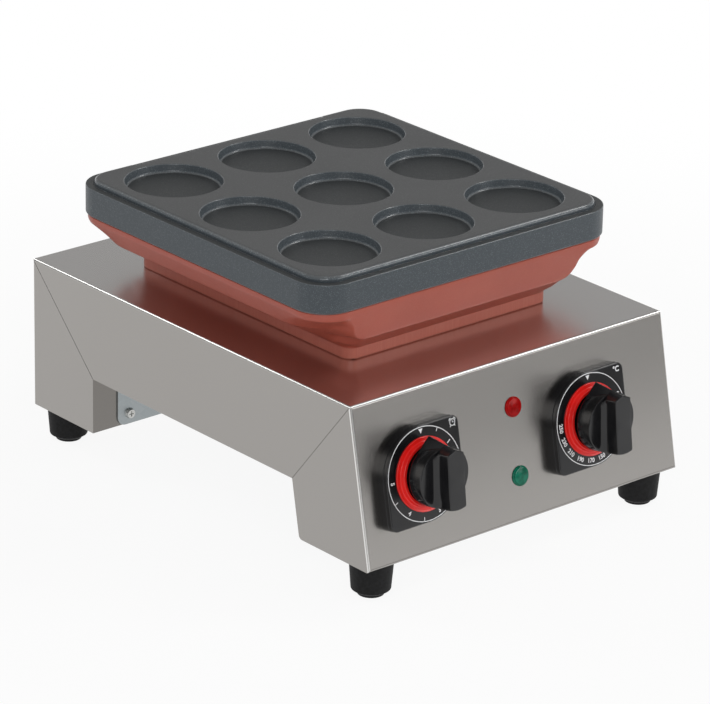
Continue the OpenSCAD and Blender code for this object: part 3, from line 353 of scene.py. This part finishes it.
def addPiece(name, shape, finish, body="base", nodes=(), sharp=42):
    mesh = bpy.data.meshes.new(name)
    mesh.from_pydata([p * mm for p in shape.points], [], shape.faces)
    build = bmesh.new()
    build.from_mesh(mesh)
    bmesh.ops.remove_doubles(build, verts=build.verts, dist=1e-7)
    bmesh.ops.dissolve_degenerate(build, edges=build.edges, dist=1e-8)
    bmesh.ops.recalc_face_normals(build, faces=build.faces)
    build.to_mesh(mesh)
    build.free()
    mesh.shade_smooth()
    mesh.set_sharp_from_angle(angle=math.radians(sharp))
    mesh.materials.append(finish)
    piece = bpy.data.objects.new(name, mesh)
    scene.collection.objects.link(piece)
    piece.modifiers.new("evenShading", "WEIGHTED_NORMAL").keep_sharp = True
    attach(piece, body)
    if nodes:
        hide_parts(*nodes)
    return piece


def at(x, y, z):
    return Matrix.Translation((x, y, z))


# Places: the axes of the dials come from the joints, the panel from their direction
dialAt = {}
for joint in frame["joints"]:
    inwards = Vector(joint["axis"]).normalized()
    columns = Matrix((Vector((1, 0, 0)), Vector((1, 0, 0)).cross(inwards), -inwards)).transposed().to_4x4()
    dialAt[joint["child"]] = Matrix.Translation(Vector(joint["pos_m"]) / mm) @ columns
panelTurn = columns


def middleOf(node):
    low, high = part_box(node)
    return (low + high) / 2 / mm


# Cooking plate
plate = {
    "half": 119, "height": 21.8, "corner": 22, "step": 3.2, "shoulder": 5.5, "chamfer": 1, "wall": 8, "core": 11,
    "shoulderSoft": 0.5, "platformSoft": 2.2, "grooveDeep": 0.5, "grooveWide": 0.9,
    "notchHalf": 77.5, "notchDeep": 1.5, "notchLift": 0.6, "notchRamp": 1.2,
    "pitch": 74, "cupR": 30.5, "cupDeep": 5.6, "cupFillet": 1.7, "cupLip": 0.8, "cupSteps": 96, "cornerSteps": 12,
    "bossR": 7, "bossBore": 3.1, "bossLong": 15,
}
plateLow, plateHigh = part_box("cooking_plate")
plateTop = plateHigh.z / mm
plateFoot = plateTop - plate["height"]
plateY = (plateLow.y + plateHigh.y) / 2 / mm


def plateRing(inset, z, notch=0.0):
    half, radius, steps = plate["half"] - inset, plate["corner"] - inset, plate["cornerSteps"]
    straight = half - radius
    ring = []
    for q, (sx, sy) in enumerate(((1, -1), (1, 1), (-1, 1), (-1, -1))):
        for k in range(steps + 1):
            a = math.radians(90 * q - 90 + 90 * k / steps)
            ring.append((sx * straight + radius * math.cos(a), sy * straight + radius * math.sin(a)))
        if q == 1:  # the rear edge has points for the notch
            w, r = plate["notchHalf"], plate["notchRamp"]
            ring += [(w, half), (w - r, half - notch), (r - w, half - notch), (-w, half)]
    return [(x, y + plateY, plateFoot + z) for x, y in ring]


def buildPlate():
    p, shape = plate, Shape()
    shoulderZ = p["height"] - p["step"]
    groove = p["shoulder"] - p["grooveWide"]
    outline = softPath([
        (p["wall"], p["height"] - p["core"], 0), (p["wall"], 0, 0), (p["chamfer"], 0, 0.3), (0, p["chamfer"], 0.5),
        (0, shoulderZ, p["shoulderSoft"]), (groove, shoulderZ, 0.2),
        (groove + 0.25, shoulderZ - p["grooveDeep"], 0.15), (p["shoulder"], shoulderZ - p["grooveDeep"], 0.2),
        (p["shoulder"], shoulderZ + p["notchLift"], 0),
    ])
    edge = softPath([
        (p["shoulder"], shoulderZ + p["notchLift"], 0), (p["shoulder"], p["height"], p["platformSoft"]),
        (p["shoulder"] + 3.2, p["height"], 0),
    ])
    rings = [plateRing(d, z) for d, z in outline] + [plateRing(d, z, p["notchDeep"]) for d, z in edge]
    rows = shape.skin(rings)
    shape.faces.append(tuple(rows[0]))
    cupPath = softPath([
        (p["cupR"] + 3, 0, 0), (p["cupR"], 0, p["cupLip"]), (p["cupR"] - 1, -p["cupDeep"], p["cupFillet"]),
        (0, -p["cupDeep"], 0),
    ], 7)
    rims = []
    for i in (-1, 0, 1):
        for j in (-1, 0, 1):
            spot = at(i * p["pitch"], plateY + j * p["pitch"], plateTop)
            rims.append(shape.turn(cupPath[1:], p["cupSteps"], spot)[0])
    loops = [rows[-1]] + rims
    flat = [i for loop in loops for i in loop]
    spots = [shape.points[i].xy for i in flat]
    edges, first = [], 0
    for loop in loops:
        edges += [(first + k, first + (k + 1) % len(loop)) for k in range(len(loop))]
        first += len(loop)
    found = delaunay_2d_cdt(spots, edges, [], 1, 1e-6)
    back = {k: flat[old[0]] for k, old in enumerate(found[3]) if old}
    lip = cupPath[1].x - 0.01
    for face in found[2]:
        centre = sum((found[0][k] for k in face), Vector((0, 0))) / len(face)
        inCup = any(
            (centre - Vector((i * p["pitch"], plateY + j * p["pitch"]))).length < lip
            for i in (-1, 0, 1) for j in (-1, 0, 1)
        )
        if not inCup:
            shape.faces.append(tuple(back[k] for k in face))
    core = p["height"] - p["core"]
    bolts = middleOf("tie_bolts")
    lowBolt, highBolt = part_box("tie_washers")
    tieX, tieY = highBolt.x / mm - 7, (highBolt.y - lowBolt.y) / 2 / mm - 7
    for sx in (-1, 1):
        for sy in (-1, 1):
            boss = [(p["bossBore"], core - p["bossLong"]), (p["bossR"], core - p["bossLong"]), (p["bossR"], core + 1),
                    (p["bossBore"], core + 1)]
            shape.turn(boss, 32, at(sx * tieX, bolts.y + sy * tieY, plateFoot), True)
    return addPiece("plate_with_cups", shape, finishes["non_stick"], "base", ["cooking_plate"], 35)


buildPlate()
print("cooking plate built")

# Cast housing
casting = {
    "height": 40.7, "footX": 80.3, "footY": 100.9, "footR": 8, "band": 7.5, "rim": 118.3, "rimR": 22.8, "rimBand": 5,
    "swell": 16, "flankLow": 26, "flankOut": 112, "flankRim": 3, "chinHalf": 94, "chinLow": 17.8, "chinOut": 113,
    "chinRim": 1.2, "endHalf": 5, "endClear": 5.5, "endRound": 12, "flare": 3, "flareLow": 28, "flareRise": 6,
    "footSoft": 0.8, "edgeSoft": 2.2, "rimSoft": 3, "wall": 7, "floor": 6, "rowStep": 0.6, "lipSoft": 0.9, "gap": 0.8,
}
bodyTop = plateFoot - casting["height"]


def castingSide(footing, out, low, rim):  # half width against height: foot, slanted underside, tall face, rim
    c = casting
    return softPath([
        (footing, c["band"] - 1, 0), (footing, c["band"], c["footSoft"]), (out, low, c["edgeSoft"]),
        (c["rim"], c["height"] - rim, c["rimSoft"]), (c["rim"], c["height"], 0),
    ], 8)


chinPath = castingSide(casting["footY"], casting["chinOut"], casting["chinLow"], casting["chinRim"])
flankPath = castingSide(casting["footX"], casting["flankOut"], casting["flankLow"], casting["flankRim"])


def castingRing(z, inset=0.0, chin=True, lift=None):
    c = casting
    t = min(max((z - c["band"]) / (c["height"] - c["rimBand"] - c["band"]), 0.0), 1.0)
    hx = heightOf(flankPath, z) - inset
    hy = c["footY"] + (c["rim"] - c["footY"]) * t * t - inset
    r = max(c["footR"] + (c["rimR"] - c["footR"]) * t + c["swell"] * 4 * t * (1 - t) - inset, 2)
    flare = c["flare"] * ease((z - c["flareLow"]) / c["flareRise"])
    drop = c["endRound"] - min(max(z - c["chinLow"], 0), c["endRound"])
    corner = c["endRound"] - math.sqrt(c["endRound"] ** 2 - drop * drop)  # the chin's ends are round below
    end = min(c["chinHalf"] + flare - corner, hx - c["endClear"])
    chinY = heightOf(chinPath, z) if chin else 0.0
    spots = [(end - c["endHalf"]) * k / 8 for k in range(8)]
    spots += [end + c["endHalf"] * (k / 7 - 1) for k in range(15)]
    quarter = []
    for x in spots:  # front, with the chin's soft end
        y = hy if x < hx - r else hy - r + math.sqrt(max(r * r - (x - hx + r) ** 2, 0))
        share = 1 - ease((x - end + c["endHalf"]) / (2 * c["endHalf"]))
        quarter.append((x, y + (chinY - y) * share if chin else y))
    top = math.acos(min(max((spots[-1] - hx + r) / r, -1), 1))
    quarter += [
        (hx - r + r * math.cos(top * (1 - k / 10)), hy - r + r * math.sin(top * (1 - k / 10))) for k in range(1, 11)
    ]
    quarter += [(hx, (hy - r) * (1 - k / 8)) for k in range(1, 9)]
    ring = [(x, -y) for x, y in quarter]  # front right, then round
    ring += [(x, y) for x, y in reversed(quarter[:-1])]
    ring += [(-x, y) for x, y in quarter[1:]]
    ring += [(-x, -y) for x, y in reversed(quarter[1:-1])]
    up = z if lift is None else lift
    return [(x, y + plateY, bodyTop + up) for x, y in ring]


def buildCasting():
    c, shape = casting, Shape()
    low, high = c["band"], c["height"] - c["rimBand"]
    count = round((high - low) / c["rowStep"])
    rows = [c["gap"], low / 3, low * 2 / 3, low - 0.7, low - 0.3]
    rows += [low + (high - low) * k / count for k in range(count + 1)]
    rows += [high + 0.5, high + 1.2, high + 2.5, c["height"] - c["lipSoft"]]
    rings = [castingRing(0.0, c["gap"], False)] + [castingRing(z) for z in rows]
    rim = c["height"] - 0.01
    lip = c["lipSoft"]
    for k in range(1, 6):
        a = math.radians(18 * k)
        rings.append(castingRing(rim, lip * (1 - math.cos(a)), False, c["height"] - lip * (1 - math.sin(a))))
    rings.append(castingRing(rim, c["wall"], False, c["height"]))
    for k in range(9):
        z = high - (high - c["floor"] - 2) * k / 8
        rings.append(castingRing(max(z, c["band"]), c["wall"], False, z))
    rings.append(castingRing(c["band"], c["wall"], False, c["floor"]))
    made = shape.skin(rings)
    shape.faces += [tuple(made[0]), tuple(made[-1])]
    return addPiece("cast_housing", shape, finishes["cast_paint"], "base", ["plate_housing"], 38)


buildCasting()
print("housing built")

# Rubber feet
foot = {
    "top": 13.6, "low": 12, "flat": 8, "chamfer": 3.8, "tread": 1.6, "height": 22.5, "recess": 4.3, "deep": 10,
    "bore": 2.1, "steps": 64,
}
footPath = softPath([
    (foot["bore"], foot["height"], 0), (foot["top"] - 0.1, foot["height"], 0.4),
    (foot["low"], foot["chamfer"], 0.9), (foot["flat"] + 0.6, foot["tread"], 0.3), (foot["flat"], 0, 0.5),
    (foot["recess"], 0, 0.4), (foot["recess"], foot["deep"], 0.3), (foot["bore"], foot["deep"], 0),
])
for side in ("front_left", "front_right", "rear_left", "rear_right"):
    shape, spot = Shape(), middleOf("foot_" + side)
    shape.turn(footPath, foot["steps"], at(spot.x, spot.y, 0), True)
    addPiece("rubber_foot_" + side, shape, finishes["foot_rubber"], "base", ["foot_" + side])

# Bezels
bezel = {
    "half": 29.4, "small": 5, "large": 29.3, "thick": 8.4, "hole": 5.2, "soft": 0.8, "draft": 0.15, "groove": 4.9,
    "grooveDeep": 0.5, "flatIn": 3.2, "flatR": 15.0, "steps": 24,
}


def bezelRing(inset, z, place):
    b, ring = bezel, []
    half = b["half"] - inset
    for q, (sx, sy, radius) in enumerate(((1, -1, b["large"]), (1, 1, b["small"]), (-1, 1, b["large"]),
                                          (-1, -1, b["small"]))):
        r = max(radius - inset, 0.4)
        for k in range(b["steps"] + 1):
            a = math.radians(90 * q - 90 + 90 * k / b["steps"])
            ring.append((sx * (half - r) + r * math.cos(a), sy * (half - r) + r * math.sin(a)))
    return [place @ Vector((x, y, z)) for x, y in ring]


def buildBezel(body):
    place, shape, top = dialAt[body], Shape(), bezel["thick"]
    low, deep = bezel["groove"], bezel["grooveDeep"]
    steps = softPath([
        (0, 0, 0), (0, low, 0.2), (deep, low + 0.3, 0.15), (deep, low + 0.6, 0.15), (0.05, low + 0.9, 0.2),
        (bezel["draft"], top, bezel["soft"]), (bezel["flatIn"], top, 0),
    ], 6)
    rings = [bezelRing(d, z, place) for d, z in steps]
    flat = bezelRing(bezel["flatIn"], top, Matrix.Identity(4))
    for r, z in ((bezel["flatR"], top), (bezel["hole"], top), (bezel["hole"], 0)):
        rings.append([place @ Vector((p.x * r / p.xy.length, p.y * r / p.xy.length, z)) for p in flat])
    rows = shape.skin(rings)
    shape.bridge(rows[-1], rows[0])
    addPiece(body + "_dial_plate", shape, finishes["control_black"], "base", [body + "_bezel"], 38)


# Red rings
dialRing = {
    "bore": 17.15, "outer": 22.45, "rim": 1.15, "dish": 21.4, "dishHigh": 0.95, "collarFoot": 19.7, "collarLow": 0.85,
    "collarTop": 19.05, "collarIn": 17.4, "high": 3.65, "boreHigh": 3.3, "steps": 96,
}
ringPath = softPath([
    (dialRing["bore"], 0, 0), (dialRing["outer"], 0, 0), (dialRing["outer"], dialRing["rim"], 0.4),
    (dialRing["dish"], dialRing["dishHigh"], 0.4), (dialRing["collarFoot"], dialRing["collarLow"], 0.6),
    (dialRing["collarTop"], dialRing["high"], 0.45), (dialRing["collarIn"], dialRing["high"], 0.25),
    (dialRing["bore"], dialRing["boreHigh"], 0),
])


def buildRing(body):
    shape = Shape()
    shape.turn(ringPath, dialRing["steps"], dialAt[body] @ at(0, 0, bezel["thick"]), True)
    addPiece(body + "_dial_ring", shape, finishes["dial_red"], "base", [body + "_ring"])


# Knobs
knob = {
    "radius": 18.5, "low": 15.2, "height": 23, "skirt": 10.6, "skirtRise": 5.2, "fall": 3, "grip": 6.1, "reach": 24.2,
    "top": 18, "slants": (0.843, 0.79, 0.377), "tip": 0.015, "corner": 0.5, "fillet": 3.6, "crown": 0.55, "rim": 0.45,
    "spokes": 288, "wall": 2.4, "hollow": 5, "hub": 6, "bore": 3.1, "boreDeep": 14,
}


def softLeast(a, b, soft):
    near = max(soft - abs(a - b), 0) / soft
    return min(a, b) - near * near * soft / 4


def knobShares(w):  # how far a level is up the skirt, and up the grip bar
    n = knob
    return min(w / n["skirt"], 1), max((w - n["skirt"]) / (n["height"] - n["fall"] / 2 - n["skirt"]), 0)


def knobRing(w, inset, grip, place):  # grip is the half width of the bar at that level, or None on the skirt
    n, ring = knob, []
    skirt, bar = knobShares(w)
    tilt = (n["skirtRise"] * skirt + (n["fall"] - n["skirtRise"]) * bar) / (2 * n["radius"])
    ridge = n["reach"] - (n["reach"] - n["top"]) * (w + tilt * 20) / n["height"]
    first, second, third = n["slants"]
    slant = first + (second - first) * skirt + (third - second) * bar
    for k in range(n["spokes"]):
        a = 2 * math.pi * k / n["spokes"]
        s, c = math.sin(a), math.cos(a)
        nose = ridge / (c + slant * math.sqrt(s * s + n["tip"] ** 2)) if c > 0.05 else 99.0
        bound = nose if c > 0 else n["radius"]
        gripped = softLeast(bound, (grip or n["grip"]) / max(abs(s), 0.03), n["corner"])
        if grip:
            r = gripped - inset
        else:
            r = max(n["radius"], nose if c > 1 / math.hypot(1, slant) else 0)
            r -= inset * min(max(r - gripped, 0) / 1.5, 1) if w > n["skirt"] / 2 else inset
        ring.append(place @ Vector((r * s, r * c, w + tilt * r * c)))
    return ring


def buildKnob(body):
    n, shape = knob, Shape()
    place = dialAt[body] @ at(0, 0, n["low"])
    rim, top = n["rim"], n["height"] - n["fall"] / 2
    rows = [(0.0, 0.4, None), (0.12, 0.12, None), (0.4, 0.0, None)]
    rows += [(0.4 + (n["skirt"] - rim - 0.4) * k / 14, 0.0, None) for k in range(1, 15)]
    turns = [math.radians(18 * k) for k in range(6)]
    rows += [(n["skirt"] - rim * (1 - math.sin(t)), rim * (1 - math.cos(t)), None) for t in turns[1:]]
    rows += [
        (n["skirt"] + n["fillet"] * (1 - math.cos(t)), 0.0, n["grip"] + n["fillet"] * (1 - math.sin(t)))
        for t in turns
    ]
    low, high = n["skirt"] + n["fillet"], top - n["crown"]
    rows += [(low + (high - low) * k / 12, 0.0, n["grip"]) for k in range(1, 13)]
    rows += [(top - n["crown"] * (1 - math.sin(t)), n["crown"] * (1 - math.cos(t)), n["grip"]) for t in turns[1:]]
    made = shape.skin([knobRing(w, inset, grip, place) for w, inset, grip in rows])
    shape.fan(made[-1], shape.ring([place @ Vector((0, 0, top))])[0])
    inner = n["radius"] - n["wall"]
    under = [(inner, 0), (inner, n["hollow"]), (n["hub"], n["hollow"]), (n["hub"], 0), (n["bore"], 0),
             (n["bore"], n["boreDeep"]), (0, n["boreDeep"])]
    turned = place @ Matrix.Rotation(math.pi / 2, 4, "Z") @ Matrix.Scale(-1, 4, (0, 1, 0))
    hollow = shape.turn(under, n["spokes"], turned)
    shape.bridge(hollow[0], made[0])
    addPiece(body + "_grip_knob", shape, finishes["control_black"], body, [body + "_knob"], 50)


# Printing on the dial plates
dialPrint = {
    "circle": 28.2, "line": 0.5, "digit": 25.2, "size": 3.8, "bold": 0.034, "lift": 0.04,
    "tickLow": 25.6, "tickHigh": 28.3, "tickHalf": 0.5, "pointer": [(-1.6, 27.2), (1.6, 27.2), (0, 24.2)],
    "minuteTurn": 54, "clockAt": (24.6, 25.2, 0),
    "warmStart": 67, "warmTurn": 20.3, "warmFirst": 50, "warmStep": 20, "unitSize": 4.6, "unitAt": (23.4, 25.4, 0),
}


def stripe(shape, place, low, high, start, finish, steps, lift):  # part of a flat band round a dial, angles clockwise
    rows = []
    for k in range(steps + 1):
        a = math.radians(start + (finish - start) * k / steps)
        rows.append(shape.ring([
            place @ Vector((r * math.sin(a), r * math.cos(a), z)) for r, z in
            ((low, 0), (low, lift), (high, lift), (high, 0))
        ]))
    whole = abs(finish - start) >= 360
    for p, q in zip(rows, rows[1:]):
        shape.faces += [(p[k], p[k + 1], q[k + 1], q[k]) for k in range(3)]
    if not whole:
        shape.faces += [tuple(rows[0]), tuple(rows[-1])]


def flatShape(shape, place, outline, lift):  # a thin raised area
    low = shape.ring([place @ Vector((x, y, 0)) for x, y in outline])
    high = shape.ring([place @ Vector((x, y, lift)) for x, y in outline])
    shape.bridge(low, high)
    shape.faces.append(tuple(high))


def lettering(shape, words, size, place):
    text = bpy.data.curves.new("words", "FONT")
    text.body, text.size, text.extrude = words, size, dialPrint["lift"] / 2
    text.offset = size * dialPrint["bold"]
    text.align_x, text.align_y, text.resolution_u = "CENTER", "CENTER", 4
    holder = bpy.data.objects.new("words", text)
    scene.collection.objects.link(holder)
    bpy.context.view_layer.update()
    drawn = bpy.data.meshes.new_from_object(holder.evaluated_get(bpy.context.evaluated_depsgraph_get()))
    first = len(shape.points)
    shape.points += [place @ (v.co + Vector((0, 0, dialPrint["lift"] / 2))) for v in drawn.vertices]
    shape.faces += [tuple(first + i for i in face.vertices) for face in drawn.polygons]
    bpy.data.objects.remove(holder)
    bpy.data.curves.remove(text)
    bpy.data.meshes.remove(drawn)


def numberAt(shape, words, angle, face):  # a number that stands on the dial's circle with its head to the axis
    a = math.radians(angle)
    spot = Vector((math.sin(a), math.cos(a), 0)) * dialPrint["digit"]
    lettering(shape, words, dialPrint["size"], face @ Matrix.Translation(spot) @ Matrix.Rotation(math.pi - a, 4, "Z"))


def buildPrint(body, marks):
    d, shape = dialPrint, Shape()
    face = dialAt[body] @ at(0, 0, bezel["thick"])
    stripe(shape, face, d["circle"] - d["line"] / 2, d["circle"] + d["line"] / 2, 0, 360, 120, d["lift"])
    flatShape(shape, face, d["pointer"], d["lift"])
    marks(shape, face)
    addPiece(body + "_dial_marks", shape, ink, "base")


def minutes(shape, face):
    d = dialPrint
    for k in range(1, 6):
        numberAt(shape, str(k), d["minuteTurn"] * k, face)
        tick = d["minuteTurn"] * (k - 0.5)
        stripe(shape, face, d["tickLow"], d["tickHigh"], tick - d["tickHalf"], tick + d["tickHalf"], 1, d["lift"])
    clock = face @ at(*d["clockAt"])
    stripe(shape, clock, 1.75, 2.2, 0, 360, 32, d["lift"])
    for s in (-1, 1):
        stripe(shape, clock, 2.6, 3.15, s * 22, s * 62, 6, d["lift"])
        flatShape(shape, clock, [(s * 1.2, -1.9), (s * 1.6, -1.6), (s * 2.2, -2.6), (s * 1.8, -2.7)], d["lift"])
    flatShape(shape, clock, [(-0.16, -0.16), (0.16, -0.16), (0.16, 1.3), (-0.16, 1.3)], d["lift"])
    flatShape(shape, clock, [(0.16, -0.16), (1.0, -0.16), (1.0, 0.16), (0.16, 0.16)], d["lift"])


def degrees(shape, face):
    d = dialPrint
    for k in range(11):
        numberAt(shape, str(d["warmFirst"] + d["warmStep"] * k), d["warmStart"] + d["warmTurn"] * k, face)
    lettering(shape, "°C", d["unitSize"], face @ at(*d["unitAt"]))


for body, marks in (("timer", minutes), ("thermostat", degrees)):
    buildBezel(body)
    buildRing(body)
    buildKnob(body)
    buildPrint(body, marks)
print("controls built")

# Pilot lamps
lens = {"flange": 6.28, "flangeHigh": 0.9, "neck": 5.6, "dome": 4.6, "high": 2.18, "sunk": 1.1, "steps": 64}
lensPath = softPath([
    (lens["flange"], 0, 0), (lens["flange"], lens["flangeHigh"], 0.35), (lens["neck"], 1.1, 0.2), (5.45, 1.75, 0.35),
    (lens["dome"], 1.85, 0.5), (2.2, 2.12, 1.5), (0, lens["high"], 0),
], 4)
for colour in ("red", "green"):
    node = colour + "_lamp_lens"
    spot = Matrix.Translation(middleOf(node)) @ panelTurn @ at(0, 0, -lens["sunk"])
    shape = Shape()
    rows = shape.turn(lensPath, lens["steps"], spot)
    shape.faces.append(tuple(rows[0]))
    addPiece(colour + "_pilot_lens", shape, finishes["lens_" + colour], "base", [node], 60)
print("lamps built")


# Carried-over nodes: folds shaded as smooth bends, and the finish of their slot
carried = {"foldAngle": 32, "weld": 0.000002}


def foldShading():
    group = bpy.data.node_groups.new("foldShading", "GeometryNodeTree")
    group.interface.new_socket("Geometry", in_out="INPUT", socket_type="NodeSocketGeometry")
    group.interface.new_socket("Geometry", in_out="OUTPUT", socket_type="NodeSocketGeometry")
    start = Wire(group)
    mesh = start.add("NodeGroupInput")
    plain = start.add("GeometryNodeRemoveAttribute", {}, {"Geometry": mesh, "Name": "custom_normal"})
    soft = start.add("GeometryNodeSetShadeSmooth", {"domain": "FACE"}, {"Geometry": plain, "Shade Smooth": True})
    turn = start.add("GeometryNodeInputMeshEdgeAngle")
    limit = math.radians(carried["foldAngle"])
    gentle = start.add("FunctionNodeCompare", {"operation": "LESS_THAN"}, {0: turn, 1: limit})
    edges = {"Geometry": soft, "Shade Smooth": gentle}
    folded = start.add("GeometryNodeSetShadeSmooth", {"domain": "EDGE"}, edges)
    start.add("NodeGroupOutput", {}, {0: folded})
    return group


folds = foldShading()
slotOf = {row["node"]: row["material_slot"] for row in frame["record"]["subparts"]}
for name, node in frame["nodes"].items():
    if node.hide_render:
        continue
    for holder in node.material_slots:
        holder.material = finishes[slotOf[name]]
    weld = node.modifiers.new("oneSkin", "WELD")
    weld.merge_threshold = carried["weld"]
    node.modifiers.new("folds", "NODES").node_group = folds
    node.modifiers.new("evenShading", "WEIGHTED_NORMAL").keep_sharp = True
print("nodes dressed")

# Stage
stage = {
    "floorHalf": 14.0, "cloth": (0.9, 0.9, 0.9, 1), "ambient": 0.45, "zenith": 0.33, "nearWhite": 0.91,
    "fadeStart": 0.3, "fadeEnd": 0.75, "tableEnd": 0.55, "tableFade": 0.2, "room": 0.35,
}


def seenRays(start):  # rays of the camera, and those of reflections and clear pieces
    rays = [start.add("ShaderNodeLightPath", out=name) for name in
            ("Is Camera Ray", "Is Glossy Ray", "Is Transmission Ray")]
    return rays[0], rays[1].most(rays[2])


def makeFloor():
    half = stage["floorHalf"]
    mesh = bpy.data.meshes.new("floor")
    mesh.from_pydata([(-half, -half, 0), (half, -half, 0), (half, half, 0), (-half, half, 0)], [], [(0, 1, 2, 3)])
    material = bpy.data.materials.new("paleFloor")
    material.use_nodes = True
    material.node_tree.nodes.clear()
    start = Wire(material.node_tree)
    place = start.add("ShaderNodeTexCoord", out="Object")
    away = start.add("ShaderNodeVectorMath", {"operation": "LENGTH"}, {0: place}, 1)
    far = away.step(stage["fadeStart"], stage["fadeEnd"])
    direct, mirrored = seenRays(start)
    share = direct.most(mirrored) * (far * (1 - stage["nearWhite"]) + stage["nearWhite"])
    past = (0 - place.parts()[1]).step(stage["tableEnd"], stage["tableEnd"] + stage["tableFade"]) * mirrored
    dim = stage["room"]  # reflections are darker past the table
    cloth = start.add("ShaderNodeBsdfDiffuse", {}, {"Color": stage["cloth"]})
    glow = past.tint((1, 1, 1, 1), (dim, dim, dim, 1))
    white = start.add("ShaderNodeEmission", {}, {"Color": glow, "Strength": 1.0})
    mixed = start.add("ShaderNodeMixShader", {}, {0: share, 1: cloth, 2: white})
    start.add("ShaderNodeOutputMaterial", {}, {"Surface": mixed})
    mesh.materials.append(material)
    floor = bpy.data.objects.new("floor", mesh)
    scene.collection.objects.link(floor)


def makeWorld():
    world = bpy.data.worlds.new("studio")
    scene.world = world
    world.use_nodes = True
    world.node_tree.nodes.clear()
    start = Wire(world.node_tree)
    deep, up = start.add("ShaderNodeTexCoord", out="Generated").parts()[1:]
    direct, mirrored = seenRays(start)
    dome = 1 - up.step(0.08, 0.3) * (1 - stage["zenith"])  # white at the horizon, grey above
    room = (0 - deep).step(0.1, 0.5) * mirrored * (1 - stage["room"])  # darker in front of the table
    strength = direct.most(mirrored) * (dome * (1 - room) - stage["ambient"]) + stage["ambient"]
    sky = start.add("ShaderNodeBackground", {}, {"Color": (1, 1, 1, 1), "Strength": strength})
    start.add("ShaderNodeOutputWorld", {}, {"Surface": sky})


# place, aim, width, height, watts
lamps = {
    "key": ((-1.4, -1.6, 1.0), (0, 0, 0.1), 1.1, 1.1, 12),
    "fill": ((1.2, -2.0, 0.6), (0, 0, 0.1), 1.1, 0.8, 9),
    "high": ((1.35, -0.7, 1.6), (0, 0, 0.15), 0.55, 0.55, 9),
    "back": ((-0.8, 1.55, 1.35), (0, 0, 0.12), 0.6, 0.4, 5),
}


def makeLamps():
    for name, (spot, aim, wide, high, watts) in lamps.items():
        light = bpy.data.lights.new(name, "AREA")
        light.shape, light.size, light.size_y, light.energy = "RECTANGLE", wide, high, watts
        lamp = bpy.data.objects.new(name, light)
        lamp.location = spot
        lamp.rotation_euler = (Vector(aim) - Vector(spot)).to_track_quat("-Z", "Y").to_euler()
        scene.collection.objects.link(lamp)


eye = {
    "from": (-1.6058, -2.015125, 0.94815), "yaw": 40.963, "pitch": 22.001, "roll": 1.213, "lens": 216.253,
    "sensor": 36, "clip": (0.05, 60),
}


def makeCamera():
    view = bpy.data.cameras.new("eye")
    view.sensor_width, view.lens = eye["sensor"], eye["lens"]
    view.clip_start, view.clip_end = eye["clip"]
    camera = bpy.data.objects.new("eye", view)
    turn = Matrix.Rotation(-math.radians(eye["yaw"]), 4, "Z")
    turn = turn @ Matrix.Rotation(math.radians(90 - eye["pitch"]), 4, "X")
    turn = turn @ Matrix.Rotation(math.radians(eye["roll"]), 4, "Z")
    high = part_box("body_shell")[1]
    corner = Vector((0, high.y, high.z))  # rear edge of the top
    camera.matrix_world = Matrix.Translation(corner + Vector(eye["from"])) @ turn
    scene.collection.objects.link(camera)
    scene.camera = camera


makeFloor()
makeWorld()
makeLamps()
makeCamera()
print("stage set")
